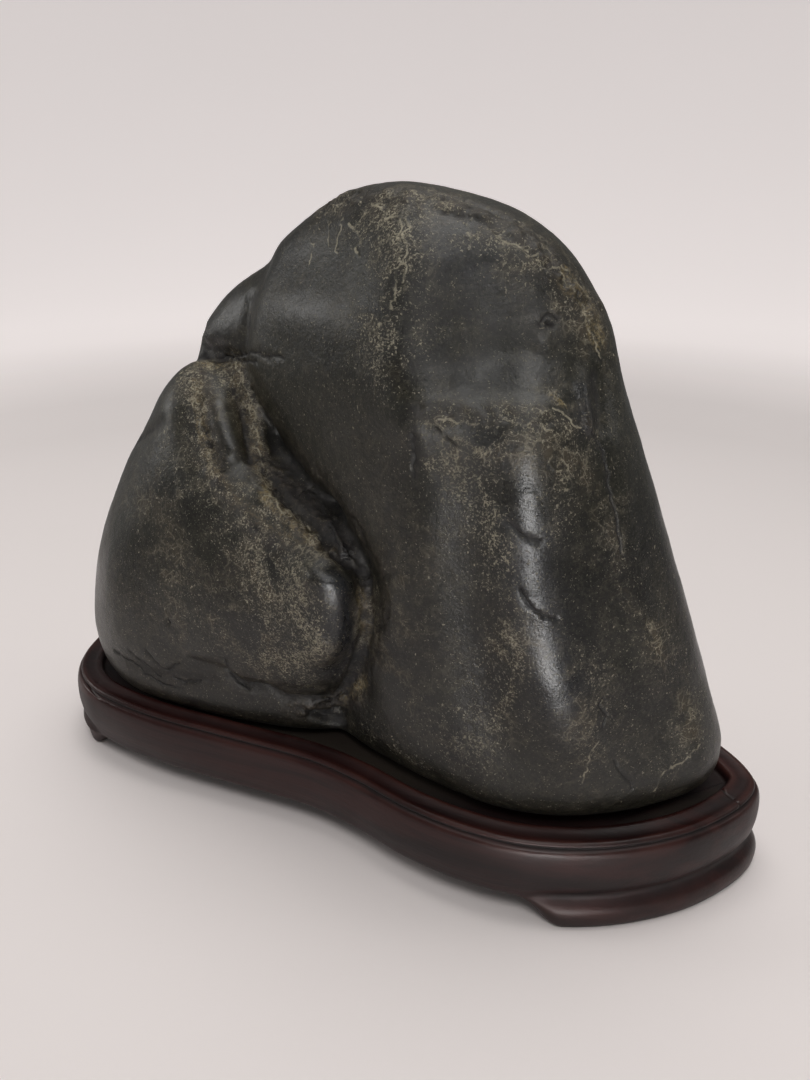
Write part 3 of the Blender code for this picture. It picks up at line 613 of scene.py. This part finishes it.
def stone_finish(s):
    """Near-black stone, rubbed with wax: clouds of grey-green, bluish places partly painted as sheen, ochre skin, pale
    grit, scars, dark dirt and painted shade.
    """
    f = Finish("waxed_stone")
    f.put(f.shader.inputs["Specular IOR Level"], 0.40)
    grit, earth, cool = f.painted("grit"), f.painted("earth"), f.painted("cool")
    shine, dirt, crag = f.painted("shine"), f.painted("dirt"), f.painted("crag")
    scar, crack, proud = f.painted("scar"), f.painted("crack"), f.painted("proud")
    clouds = f.noise(16, 5, 0.6, 0.4)
    patches = f.noise(60, 7, 0.68, 0.5)
    fine = f.noise(260, 5, 0.72)
    specks = f.noise(1000, 4, 0.72)
    colour = f.mix(f.step(clouds, 0.35, 0.65), s.deep, s.body)
    # Bluish places, partly the stone's own colour and partly a painted sheen round the highlights.
    colour = f.mix(f.times(cool, f.step(patches, 0.2, 0.6, 0.5, 1.0)), colour, s.cool)
    mottle = f.times(f.step(specks, 0.42, 0.62), f.step(fine, 0.40, 0.60, 0.3, 1.0))
    colour = f.mix(f.times(mottle, 0.075), colour, s.grit)
    # The ground of the gritty places is darker; brown stains and ochre dust lie over it.
    gritty = f.times(grit, f.step(patches, 0.38, 0.58, 0.35, 1.0))
    colour = f.mix(f.times(gritty, f.step(fine, 0.40, 0.56, 0.75, 0.20)), colour, s.deep)
    stain = f.times(f.plus(earth, 0.11), f.step(patches, 0.40, 0.62))
    stain = f.times(stain, f.step(fine, 0.36, 0.60, 0.25, 1.0), clamp=True)
    colour = f.mix(stain, colour, s.earth)
    ochre = f.times(f.step(earth, 0.60, 0.90), f.step(fine, 0.40, 0.58, 0.20, 1.0))
    colour = f.mix(f.times(ochre, f.step(specks, 0.43, 0.56, 0.10, 1.0)), colour, s.ochre)
    craggy = f.times(crag, f.step(fine, 0.34, 0.56, 0.3, 1.0))
    colour = f.mix(f.times(craggy, 0.7), colour, s.bark)
    rubbed = f.times(f.times(proud, crag), f.step(specks, 0.42, 0.56, 0.15, 0.8))
    colour = f.mix(rubbed, colour, s.earth)
    pores = f.step(f.noise(900, 3, 0.6), 0.36, 0.44, 1.0, 0.0)
    colour = f.mix(f.times(pores, f.step(fine, 0.38, 0.60, 0.75, 0.30)), colour, s.deep)
    # Pale specks and short curls: dense in the gritty places and sparse elsewhere.
    small = f.step(f.plus(f.noise(1500, 3, 0.6), f.times(gritty, 0.14)), 0.648, 0.693)
    worm = f.step(f.plus(f.noise(760, 3, 0.6), f.times(gritty, 0.165)), 0.645, 0.690)
    worm = f.times(worm, f.curls(420, 0.050, 2.0, 0.8))
    speckle = f.most(f.times(small, 0.75), f.times(worm, 0.95))
    speckle = f.times(speckle, f.step(fine, 0.36, 0.56, 0.35, 1.0))
    colour = f.mix(speckle, colour, s.grit)
    # A broken net of hair scratches and curls.
    hair = f.net(190, 0.055, f.bent(90, 0.008))
    curl = f.curls(105, 0.014, 1.5, 0.8)
    twist = f.curls(240, 0.030, 1.0, 0.4)
    lines = f.most(f.times(hair, 0.8), f.most(curl, twist))
    drawn = f.plus(f.times(grit, 0.35), f.times(earth, 0.9))
    drawn = f.plus(drawn, 0.08)
    broken = f.times(f.step(patches, 0.42, 0.56), f.step(fine, 0.42, 0.54))
    lines = f.times(f.times(lines, broken), drawn, clamp=True)
    colour = f.mix(f.times(lines, 0.65, clamp=True), colour, s.grit)
    colour = f.mix(f.times(f.step(scar, 0.25, 0.70), f.step(fine, 0.42, 0.58, 0.08, 0.68)), colour, s.grit)
    # Painted shade in the crevice, the hollows, the creases and round the foot, dirt, and the cracks darken the
    # colour.
    dark = f.times(dirt, f.step(fine, 0.35, 0.6, 1.0, 0.55))
    dark = f.most(dark, crack)
    colour = f.mix(f.times(dark, 0.92, clamp=True), colour, s.dirt)
    rough = f.plus(f.step(patches, 0.3, 0.7, 0.28, 0.39), f.times(grit, 0.05))
    rough = f.plus(rough, f.times(f.most(stain, craggy), 0.22))
    rough = f.plus(rough, f.times(dark, 0.45), clamp=True)
    rough = f.math("SUBTRACT", rough, f.times(shine, 0.12))
    rough = f.plus(rough, f.times(speckle, 0.12), clamp=True)
    dull = f.math("SUBTRACT", 1.0, f.times(shine, 0.55))
    peel = f.bump(f.times(f.noise(330, 5, 0.68), dull), 0.00028, 0.8)
    pits = f.times(specks, f.plus(f.most(gritty, crag), 0.20))
    pits = f.plus(pits, f.times(f.plus(lines, speckle), 0.25))
    pits = f.plus(f.times(pits, dull), f.times(f.times(shine, specks), 0.28))
    return f.finish(colour, rough, f.bump(pits, 0.00045, 0.9, peel))


def wood_finish(s):
    """Dark red-brown stain over close-grained wood, rubbed through to red on its edges."""
    f = Finish("stained_wood")
    f.put(f.shader.inputs["Specular IOR Level"], 0.30)
    worn, dirt, crack = f.painted("worn"), f.painted("dirt"), f.painted("crack")
    seat = f.painted("seat")
    along = f.stretched((9, 90, 150), (0, 0, 0.05))
    grain = f.noise(1.0, 6, 0.6, 0.6, along)
    pores = f.noise(1.0, 4, 0.6, 0.2, f.stretched((70, 900, 900), (0, 0, 0.05)))
    rubbed = f.noise(38, 4, 0.6, 0.3)
    colour = f.mix(f.step(grain, 0.35, 0.66), s.vein, s.wood)
    rub = f.times(worn, f.step(rubbed, 0.40, 0.62, 0.12, 0.9))
    rub = f.plus(rub, f.step(rubbed, 0.58, 0.75, 0.0, 0.25), clamp=True)
    colour = f.mix(rub, colour, s.worn)
    colour = f.mix(f.times(seat, f.step(grain, 0.3, 0.7, 0.6, 1.0)), colour, s.seat)
    colour = f.mix(f.step(pores, 0.60, 0.72, 0.0, 0.5), colour, s.vein)
    # Painted shade in the grooves, the hollow, the waist and the seat's wall, and the cracks darken the colour.
    dark = f.most(f.times(dirt, 0.8), crack, clamp=True)
    colour = f.mix(dark, colour, s.dirt)
    rough = f.plus(f.step(rubbed, 0.3, 0.7, 0.40, 0.52), f.times(dirt, 0.15))
    rough = f.plus(rough, f.times(seat, 0.3))
    rough = f.math("SUBTRACT", rough, f.times(worn, 0.14), clamp=True)
    fibres = f.bump(f.plus(f.times(grain, 0.6), pores), 0.00016, 0.55)
    return f.finish(colour, rough, f.bump(f.noise(90, 3), 0.0005, 0.25, fibres))


def paper_finish(s):
    """Pale matt studio paper. The part of it that is painted as glowing is lit from behind."""
    f = Finish("studio_paper")
    tone = f.mix(f.step(f.noise(3.0, 3), 0.3, 0.7), s.floor, [c * 0.985 for c in s.floor])
    f.put(f.shader.inputs["Emission Color"], s.floor)
    f.put(f.shader.inputs["Emission Strength"], f.times(f.painted("glow"), s.glow))
    return f.finish(tone, 0.9, f.bump(f.noise(400, 3), 0.0001, 0.3))


# ---------------------------------------------------------------- mesh work


def points_of(mesh, what="co"):
    flat = np.empty(len(mesh.vertices) * 3, np.float32)
    mesh.vertices.foreach_get(what, flat)
    return flat.reshape(-1, 3).astype(float)


def normals_of(mesh):
    return points_of(mesh, "normal")


def place_points(mesh, points):
    mesh.vertices.foreach_set("co", points.astype(np.float32).ravel())
    mesh.update()


def paint(mesh, name, values):
    layer = mesh.attributes.get(name) or mesh.attributes.new(name, "FLOAT", "POINT")
    layer.data.foreach_set("value", np.clip(values, 0, 1).astype(np.float32))


def off_line(points, line, left=1.0, right=1.0):
    """Each point's distance from a line, as a share of the reach on its side of the line in the display view."""
    best = np.full(len(points), np.inf)
    line = np.asarray(line, float)
    toward = np.array(INTO_VIEW)
    for a, b in zip(line, line[1:]):
        along = b - a
        t = np.clip((points - a) @ along / max(along @ along, 1e-12), 0, 1)
        offset = points - a - t[:, None] * along
        side = np.cross(along, offset) @ toward
        best = np.minimum(best, np.linalg.norm(offset, axis=1) / np.where(side < 0, left, right))
    return best


def near(points, line, reach):
    """Which points can be within reach of a line at all."""
    line = np.asarray(line, float)
    return np.flatnonzero(((points > line.min(0) - reach) & (points < line.max(0) + reach)).all(1))


def fading(points, line, left, right, widths=3):
    """Which points a line reaches, and how strongly: 1 on the line, and less and less away from it."""
    some = near(points, line, widths * max(left, right))
    return some, np.exp(-(off_line(points[some], line, left, right) ** 2))


def laid_on(tree, line, wander=0.0, side=1):
    """The points of a line drawn in the display view, laid on the near side of the surface.

    With a side of -1 it is laid on the far side. Between its points the line may wander, in millimetres.
    """
    fine = []
    every = 0.7 if wander else 2.0
    for a, b in zip(line, line[1:]):
        steps = max(1, int(math.dist(a, b) / every))
        fine += [(a[0] + (b[0] - a[0]) * k / steps, a[1] + (b[1] - a[1]) * k / steps) for k in range(steps)]
    fine.append(line[-1])
    found = []
    for across, up in fine:
        push = noise.noise_vector(Vector((across, up, 7)) * 0.35) + noise.noise_vector(Vector((across, up, 3))) * 0.4
        across += push.x * wander
        up += push.y * wander
        start = (ACROSS_VIEW * across + UP_VIEW * up) * MM - INTO_VIEW * 0.6 * side
        hit = tree.ray_cast(start, INTO_VIEW * side)[0]
        if hit:
            found.append(tuple(hit))
    if len(found) < 2:
        raise RuntimeError(f"the line from {line[0]} misses the stone")
    return found


def surface_tree(mesh):
    return BVHTree.FromPolygons([v.co for v in mesh.vertices], [p.vertices for p in mesh.polygons])


def region(tree, points, patches):
    """The strength of the strongest patch at each point."""
    total = np.zeros(len(points))
    for line, reach, strength, *side in patches:
        some, share = fading(points, laid_on(tree, line, 0, *side), reach * MM, reach * MM)
        total[some] = np.maximum(total[some], strength * share)
    return total


def mesh_from(bm, name):
    mesh = bpy.data.meshes.new(name)
    bm.to_mesh(mesh)
    bm.free()
    return mesh


def merged_copy(node, name):
    """A new mesh with a CAD node's shape, its loose triangles joined."""
    bm = bmesh.new()
    bm.from_mesh(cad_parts[node].data)
    bmesh.ops.remove_doubles(bm, verts=bm.verts, dist=0.01 * MM)
    mesh = mesh_from(bm, name)
    if "custom_normal" in mesh.attributes:
        mesh.attributes.remove(mesh.attributes["custom_normal"])
    return mesh


def frame_low(node):
    """The height of the underside of a CAD node."""
    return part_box(node)[0].z


def applied(obj):
    """Puts the object's modifiers into its mesh."""
    graph = bpy.context.evaluated_depsgraph_get()
    made = bpy.data.meshes.new_from_object(obj.evaluated_get(graph))
    old = obj.data
    made.name = old.name
    obj.modifiers.clear()
    obj.data = made
    bpy.data.meshes.remove(old)
    return made


def smoothing(obj, name, rounds):
    modifier = obj.modifiers.new(name, "SMOOTH")
    modifier.factor = 0.5
    modifier.iterations = rounds
    return modifier


def new_piece(mesh, name):
    obj = bpy.data.objects.new(name, mesh)
    bpy.context.scene.collection.objects.link(obj)
    return obj


def refined(mesh, lines, reach, rounds):
    """Splits the faces near the lines, twice as fine in each round."""
    bm = bmesh.new()
    bm.from_mesh(mesh)
    for _ in range(rounds):
        bm.verts.ensure_lookup_table()
        points = np.array([v.co for v in bm.verts])
        close = np.zeros(len(points), bool)
        for line in lines:
            some = near(points, line, reach)
            close[some] |= off_line(points[some], line) < reach
        edges = [e for e in bm.edges if close[e.verts[0].index] and close[e.verts[1].index]]
        bmesh.ops.subdivide_edges(bm, edges=edges, cuts=1, use_grid_fill=True, smooth=0.0)
        bm.verts.index_update()
    bm.to_mesh(mesh)
    bm.free()
    mesh.update()


def press_lines(mesh, lines, name):
    """Moves the surface by each line's lift and paints the lines. A line is (points, reach, lift) in metres."""
    points, normals = points_of(mesh), normals_of(mesh)
    drawn = np.zeros(len(points))
    for line, reach, lift in lines:
        some, share = fading(points, line, reach, reach, 4)
        points[some] += normals[some] * (lift * share)[:, None]
        drawn[some] = np.maximum(drawn[some], share)
    place_points(mesh, points)
    paint(mesh, name, drawn)


def lumpy(points, scale, roughness):
    """A soft noise at each point."""
    return np.array([noise.fractal(p * scale, roughness, 2.0, 3) for p in map(Vector, points)])


def broken_rock(p):
    """The height of broken rock at a point: sharp chips of two sizes under two sizes of grain."""
    p = p + noise.noise_vector(p * 120) * 2 * MM
    chips = noise.noise(p * 130, noise_basis="VORONOI_F2F1") + 0.6 * noise.noise(p * 290, noise_basis="VORONOI_F2F1")
    return chips + 1.1 + 0.8 * noise.noise(p * 220) + 0.4 * noise.noise(p * 520)


def roughened(mesh, tree, s):
    """Gives the surface a soft swell all over, small lumps where it is gritty or stained, and broken crags."""
    points, normals = points_of(mesh), normals_of(mesh)
    rough = np.maximum(region(tree, points, GRIT), 0.6 * region(tree, points, EARTH))
    crag = region(tree, points, CRAG) * (1 - region(tree, points, SHINE))
    broken = np.zeros(len(points))
    for i in np.flatnonzero(crag > 0.02):
        broken[i] = broken_rock(Vector(points[i]))
    lift = s.swell * lumpy(points, 42, 0.9) + s.roughcast * (0.25 + rough) * lumpy(points, 210, 0.8)
    lift += s.crag * crag * broken
    place_points(mesh, points + normals * lift[:, None])


def raise_forms(mesh, tree):
    """Cuts and raises the small forms, one after another."""
    for line, left, right, lift in FORMS.values():
        points, normals = points_of(mesh), normals_of(mesh)
        some, share = fading(points, laid_on(tree, line), left * MM, right * MM)
        points[some] += normals[some] * (lift * MM * share)[:, None]
        place_points(mesh, points)


def drawn_lines(tree, lines, wander):
    """The lines of a table laid on the surface, each as (points, reach, lift) in metres."""
    return [(laid_on(tree, line, wander, *side), reach * MM, lift * MM) for line, reach, lift, *side in lines.values()]


def hollows(obj):
    """How far each vertex stands out of the smoothed surface, in metres: below zero in a hollow."""
    before, normals = points_of(obj.data), normals_of(obj.data)
    smoothing(obj, "blur", BLUR_ROUNDS)
    graph = bpy.context.evaluated_depsgraph_get()
    smooth = obj.evaluated_get(graph).to_mesh()
    after = points_of(smooth)
    obj.evaluated_get(graph).to_mesh_clear()
    obj.modifiers.clear()
    return ((before - after) * normals).sum(1)


# ---------------------------------------------------------------- the operators


class ROCK_OT_stone(bpy.types.Operator):
    """Carve, roughen and wax the stone"""

    bl_idname = "scholars_rock.stone"
    bl_label = "Stone"

    def execute(self, context):
        s = context.scene.scholars_rock.stone
        noise.seed_set(NOISE_SEED)
        obj = new_piece(merged_copy("stone", "rock_stone"), "rock_stone")
        curve = obj.modifiers.new("round off the facets", "SUBSURF")
        curve.levels = curve.render_levels = 1
        even = obj.modifiers.new("even out the mesh", "REMESH")
        even.mode = "VOXEL"
        even.voxel_size = s.grain
        smoothing(obj, "soften", SOFTEN_ROUNDS)
        mesh = applied(obj)

        # The worn places are rubbed down, then the crags get a finer mesh.
        worn = obj.vertex_groups.new(name="worn")
        for index, share in enumerate(region(surface_tree(mesh), points_of(mesh), SOFT)):
            if share > LEAST_WEAR:
                worn.add([index], share, "REPLACE")
        smoothing(obj, "rub down", RUB_ROUNDS).vertex_group = "worn"
        mesh = applied(obj)
        tree = surface_tree(mesh)
        refined(mesh, [laid_on(tree, line) for line, _, _, *side in CRAG if not side], CRAG_MESH_REACH, 1)
        roughened(mesh, tree, s)
        raise_forms(mesh, tree)

        tree = surface_tree(mesh)
        cracks = drawn_lines(tree, CRACKS, CRACK_WANDER)
        scars = drawn_lines(tree, SCARS, SCAR_WANDER)
        refined(mesh, [line for line, _, _ in cracks + scars], LINE_MESH_REACH, 2)
        press_lines(mesh, cracks, "crack")
        press_lines(mesh, scars, "scar")
        points = points_of(mesh)
        low = frame_low("stone")
        points[:, 2] = np.maximum(points[:, 2], low)
        place_points(mesh, points)

        shine = region(tree, points, SHINE)
        paint(mesh, "shine", shine)
        paint(mesh, "grit", region(tree, points, GRIT) * (1 - 0.85 * shine))
        for name, patches in (("earth", EARTH), ("cool", COOL_AND_SHEEN), ("crag", CRAG)):
            paint(mesh, name, region(tree, points, patches))
        stands_out = hollows(obj) / PROUD_HEIGHT
        paint(mesh, "proud", stands_out)
        # The dark places are the painted patches of shade and dirt, painted shade in every hollow, and painted shade
        # round the foot.
        dirt = region(tree, points, DIRT_AND_SHADE) + np.clip(-stands_out - 0.3, 0, 0.8)
        dirt += np.clip(1 - (points[:, 2] - low) / SHADED_FOOT, 0, 1) * 0.6
        paint(mesh, "dirt", dirt)
        mesh.materials.clear()
        mesh.materials.append(stone_finish(s))
        mesh.shade_smooth()
        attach(obj, "root")
        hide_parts("stone")
        return {"FINISHED"}


def closed_curve(points, count):
    """A smooth closed curve through plan points, at a number of even steps of its length."""
    p = np.asarray(points, float)
    fine = []
    for i in range(len(p)):
        a, b, c, d = p[i - 1], p[i], p[(i + 1) % len(p)], p[(i + 2) % len(p)]
        for t in np.linspace(0, 1, 40, endpoint=False):
            fine.append(b + ((c - a) * t + (2 * a - 5 * b + 4 * c - d) * t**2 + (3 * b - a - 3 * c + d) * t**3) / 2)
    fine = np.array(fine + [fine[0]])
    run = np.concatenate([[0], np.cumsum(np.linalg.norm(np.diff(fine, axis=0), axis=1))])
    at = np.linspace(0, run[-1], count, endpoint=False)
    return np.stack([np.interp(at, run, fine[:, k]) for k in (0, 1)], axis=1)


def ease(t):
    t = np.clip(t, 0, 1)
    return t * t * (3 - 2 * t)


class ROCK_OT_stand(bpy.types.Operator):
    """Carve and stain the stand"""

    bl_idname = "scholars_rock.stand"
    bl_label = "Stand"

    def execute(self, context):
        s = context.scene.scholars_rock.stand
        plan = closed_curve(OUTLINE, s.stations)
        along = np.roll(plan, -1, axis=0) - np.roll(plan, 1, axis=0)
        out = np.stack([along[:, 1], -along[:, 0]], axis=1)
        out /= np.linalg.norm(out, axis=1)[:, None]
        left = ease((plan[:, 0] - LEFT_FOOT_FROM_X[0]) / (LEFT_FOOT_FROM_X[1] - LEFT_FOOT_FROM_X[0]))
        right = ease((plan[:, 0] - RIGHT_FOOT_FROM_X[0]) / (RIGHT_FOOT_FROM_X[1] - RIGHT_FOOT_FROM_X[0]))
        foot = np.maximum(left, right)
        still = np.zeros(s.stations)
        rings = [(still + offset, still + z, still + worn, still + dirt) for offset, z, worn, dirt in RIM]
        for k, ((skirt_out, skirt_z), (foot_out, foot_z)) in enumerate(zip(SKIRT, FOOT)):
            offset = skirt_out + (foot_out - skirt_out) * foot
            if foot_z < ROLL_TOP:
                offset = offset - LEFT_FOOT_INSET * left
            rings.append((offset, skirt_z + (foot_z - skirt_z) * foot, FOOT_WORN[k] * foot, FOOT_SHADE[k] * foot))

        # The innermost ring is a circle moved on to the seat's edge, and each next ring is pulled out of the last.
        bm = bmesh.new()
        worn_layer = bm.verts.layers.float.new("worn")
        dirt_and_shade_layer = bm.verts.layers.float.new("dirt")
        loop = bmesh.ops.create_circle(bm, segments=s.stations, radius=1)["verts"]
        loop.sort(key=lambda v: math.atan2(v.co.y, v.co.x) % (2 * math.pi))
        edges = list(bm.edges)
        for k, (offset, z, worn, dirt) in enumerate(rings):
            if k:
                pulled = bmesh.ops.extrude_edge_only(bm, edges=edges)["geom"]
                edges = [g for g in pulled if isinstance(g, bmesh.types.BMEdge)]
                fresh = {v for g in edges for v in g.verts}
                loop = [next(e.other_vert(v) for e in v.link_edges if e.other_vert(v) in fresh) for v in loop]
            for i, v in enumerate(loop):
                x, y = plan[i] + out[i] * offset[i] + DRAWN_ABOUT
                v.co = (x * MM, y * MM, z[i] * MM)
                v[worn_layer] = worn[i]
                v[dirt_and_shade_layer] = dirt[i]
        bmesh.ops.holes_fill(bm, edges=[e for e in bm.edges if e.is_boundary], sides=0)
        seats = [f for f in bm.faces if len(f.verts) == s.stations and f.calc_center_median().z > SEAT_TOP / 2 * MM]
        bmesh.ops.inset_region(bm, faces=seats, thickness=SEAT_BORDER * MM)
        bmesh.ops.recalc_face_normals(bm, faces=bm.faces)
        mesh = mesh_from(bm, "rock_stand")
        obj = new_piece(mesh, "rock_stand")
        cracks = [
            ([(x * MM, y * MM, z * MM) for x, y, z in line], reach * MM, lift * MM)
            for line, reach, lift in WOOD_CRACKS.values()
        ]
        refined(mesh, [line for line, _, _ in cracks], WOOD_MESH_REACH, 2)
        press_lines(mesh, cracks, "crack")
        points = points_of(mesh)
        level = abs(points[:, 2] - SEAT_TOP * MM) < 0.5 * MM
        paint(mesh, "seat", level & (np.linalg.norm(points[:, :2] / SEAT_SPAN, axis=1) < 1))
        mesh.materials.append(wood_finish(s))
        mesh.shade_smooth()
        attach(obj, "root")
        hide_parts("stand")
        return {"FINISHED"}


def area_light(name, at, toward, size, colour, watts):
    data = bpy.data.lights.new(name, "AREA")
    data.shape = "ELLIPSE"
    data.size, data.size_y = size
    data.energy = watts
    data.color = colour
    lamp = bpy.data.objects.new(name, data)
    lamp.location = at
    lamp.rotation_mode = "QUATERNION"
    lamp.rotation_quaternion = (Vector(toward) - Vector(at)).to_track_quat("-Z", "Y")
    lamp.visible_camera = False
    bpy.context.scene.collection.objects.link(lamp)
    return lamp


def spun_paper(name, section, finish):
    """A sheet of paper swept all round the middle, from its section as (radius, height).

    A sheet that starts away from the middle glows more and more outwards.
    """
    bm = bmesh.new()
    verts = [bm.verts.new((r, 0, z)) for r, z in section]
    edges = [bm.edges.new(pair) for pair in zip(verts, verts[1:])]
    bmesh.ops.spin(
        bm, geom=verts + edges, cent=(0, 0, 0), axis=(0, 0, 1), angle=2 * math.pi, steps=96, use_merge=True
    )
    bmesh.ops.remove_doubles(bm, verts=bm.verts, dist=0.1 * MM)
    bmesh.ops.recalc_face_normals(bm, faces=bm.faces)
    mesh = mesh_from(bm, name)
    inner = section[0][0]
    away = np.linalg.norm(points_of(mesh)[:, :2], axis=1) - inner
    paint(mesh, "glow", ease(away / GLOW_FADE) * (inner > 0))
    mesh.materials.append(finish)
    mesh.shade_smooth()
    sheet = new_piece(mesh, name)
    return sheet


class ROCK_OT_stage(bpy.types.Operator):
    """Set up the pale floor, the soft light and the camera"""

    bl_idname = "scholars_rock.stage"
    bl_label = "Studio"

    def execute(self, context):
        s = context.scene.scholars_rock.stage
        scene = context.scene
        paper = paper_finish(s)
        spun_paper("studio_floor", [(r, 0) for r in FLOOR_RINGS], paper)
        section = [(r, 0) for r in BACKDROP_RINGS] + [(s.radius, 0)]
        for a in np.linspace(0.1, math.pi / 2, 14):
            section.append((s.radius + BACKDROP_CURVE * math.sin(a), BACKDROP_CURVE * (1 - math.cos(a))))
        section.append((s.radius + BACKDROP_CURVE, BACKDROP_TOP))
        backdrop = spun_paper("studio_backdrop", section, paper)
        # The backdrop only shows: it stays out of the reflections, which see the open room.
        backdrop.visible_glossy = False
        backdrop.visible_diffuse = False

        world = bpy.data.worlds.new("studio_sky")
        world.use_nodes = True
        world.node_tree.nodes["Background"].inputs["Color"].default_value = (*SKY_COLOUR, 1)
        world.node_tree.nodes["Background"].inputs["Strength"].default_value = s.sky
        scene.world = world
        lamps = {name: area_light(name, *values, getattr(s, name)) for name, values in LAMPS.items()}
        # The low lamp only shows as reflections on the polished ridge.
        lamps["low_lamp"].data.spread = LOW_LAMP_SPREAD
        lamps["low_lamp"].visible_diffuse = False

        data = bpy.data.cameras.new("display_view")
        data.sensor_fit = "VERTICAL"
        data.sensor_height = SENSOR_HEIGHT
        data.lens = LENS
        data.clip_start = 0.01
        camera = bpy.data.objects.new("display_view", data)
        camera.location = CAMERA_AT
        camera.rotation_mode = "QUATERNION"
        camera.rotation_quaternion = INTO_VIEW.to_track_quat("-Z", "Y")
        scene.collection.objects.link(camera)
        scene.camera = camera
        scene.view_settings.view_transform = "Standard"
        return {"FINISHED"}


class ROCK_PT_panel(bpy.types.Panel):
    """Lists the rock's pieces and their settings"""

    bl_idname = "ROCK_PT_panel"
    bl_label = "Scholar's rock"
    bl_space_type = "VIEW_3D"
    bl_region_type = "UI"
    bl_category = "Scholar's rock"

    def draw(self, context):
        settings = context.scene.scholars_rock
        for operator, group in (
            (ROCK_OT_stone, settings.stone), (ROCK_OT_stand, settings.stand), (ROCK_OT_stage, settings.stage),
        ):
            box = self.layout.box()
            box.operator(operator.bl_idname)
            for name in group.__annotations__:
                box.prop(group, name)


CLASSES = (
    StoneSettings, StandSettings, StageSettings, RockSettings,
    ROCK_OT_stone, ROCK_OT_stand, ROCK_OT_stage, ROCK_PT_panel,
)


def register():
    for made in CLASSES:
        bpy.utils.register_class(made)
    bpy.types.Scene.scholars_rock = PointerProperty(type=RockSettings)


def unregister():
    del bpy.types.Scene.scholars_rock
    for made in reversed(CLASSES):
        bpy.utils.unregister_class(made)


def main():
    register()
    bpy.ops.scholars_rock.stone()
    bpy.ops.scholars_rock.stand()
    bpy.ops.scholars_rock.stage()


if __name__ == "__main__":
    main()
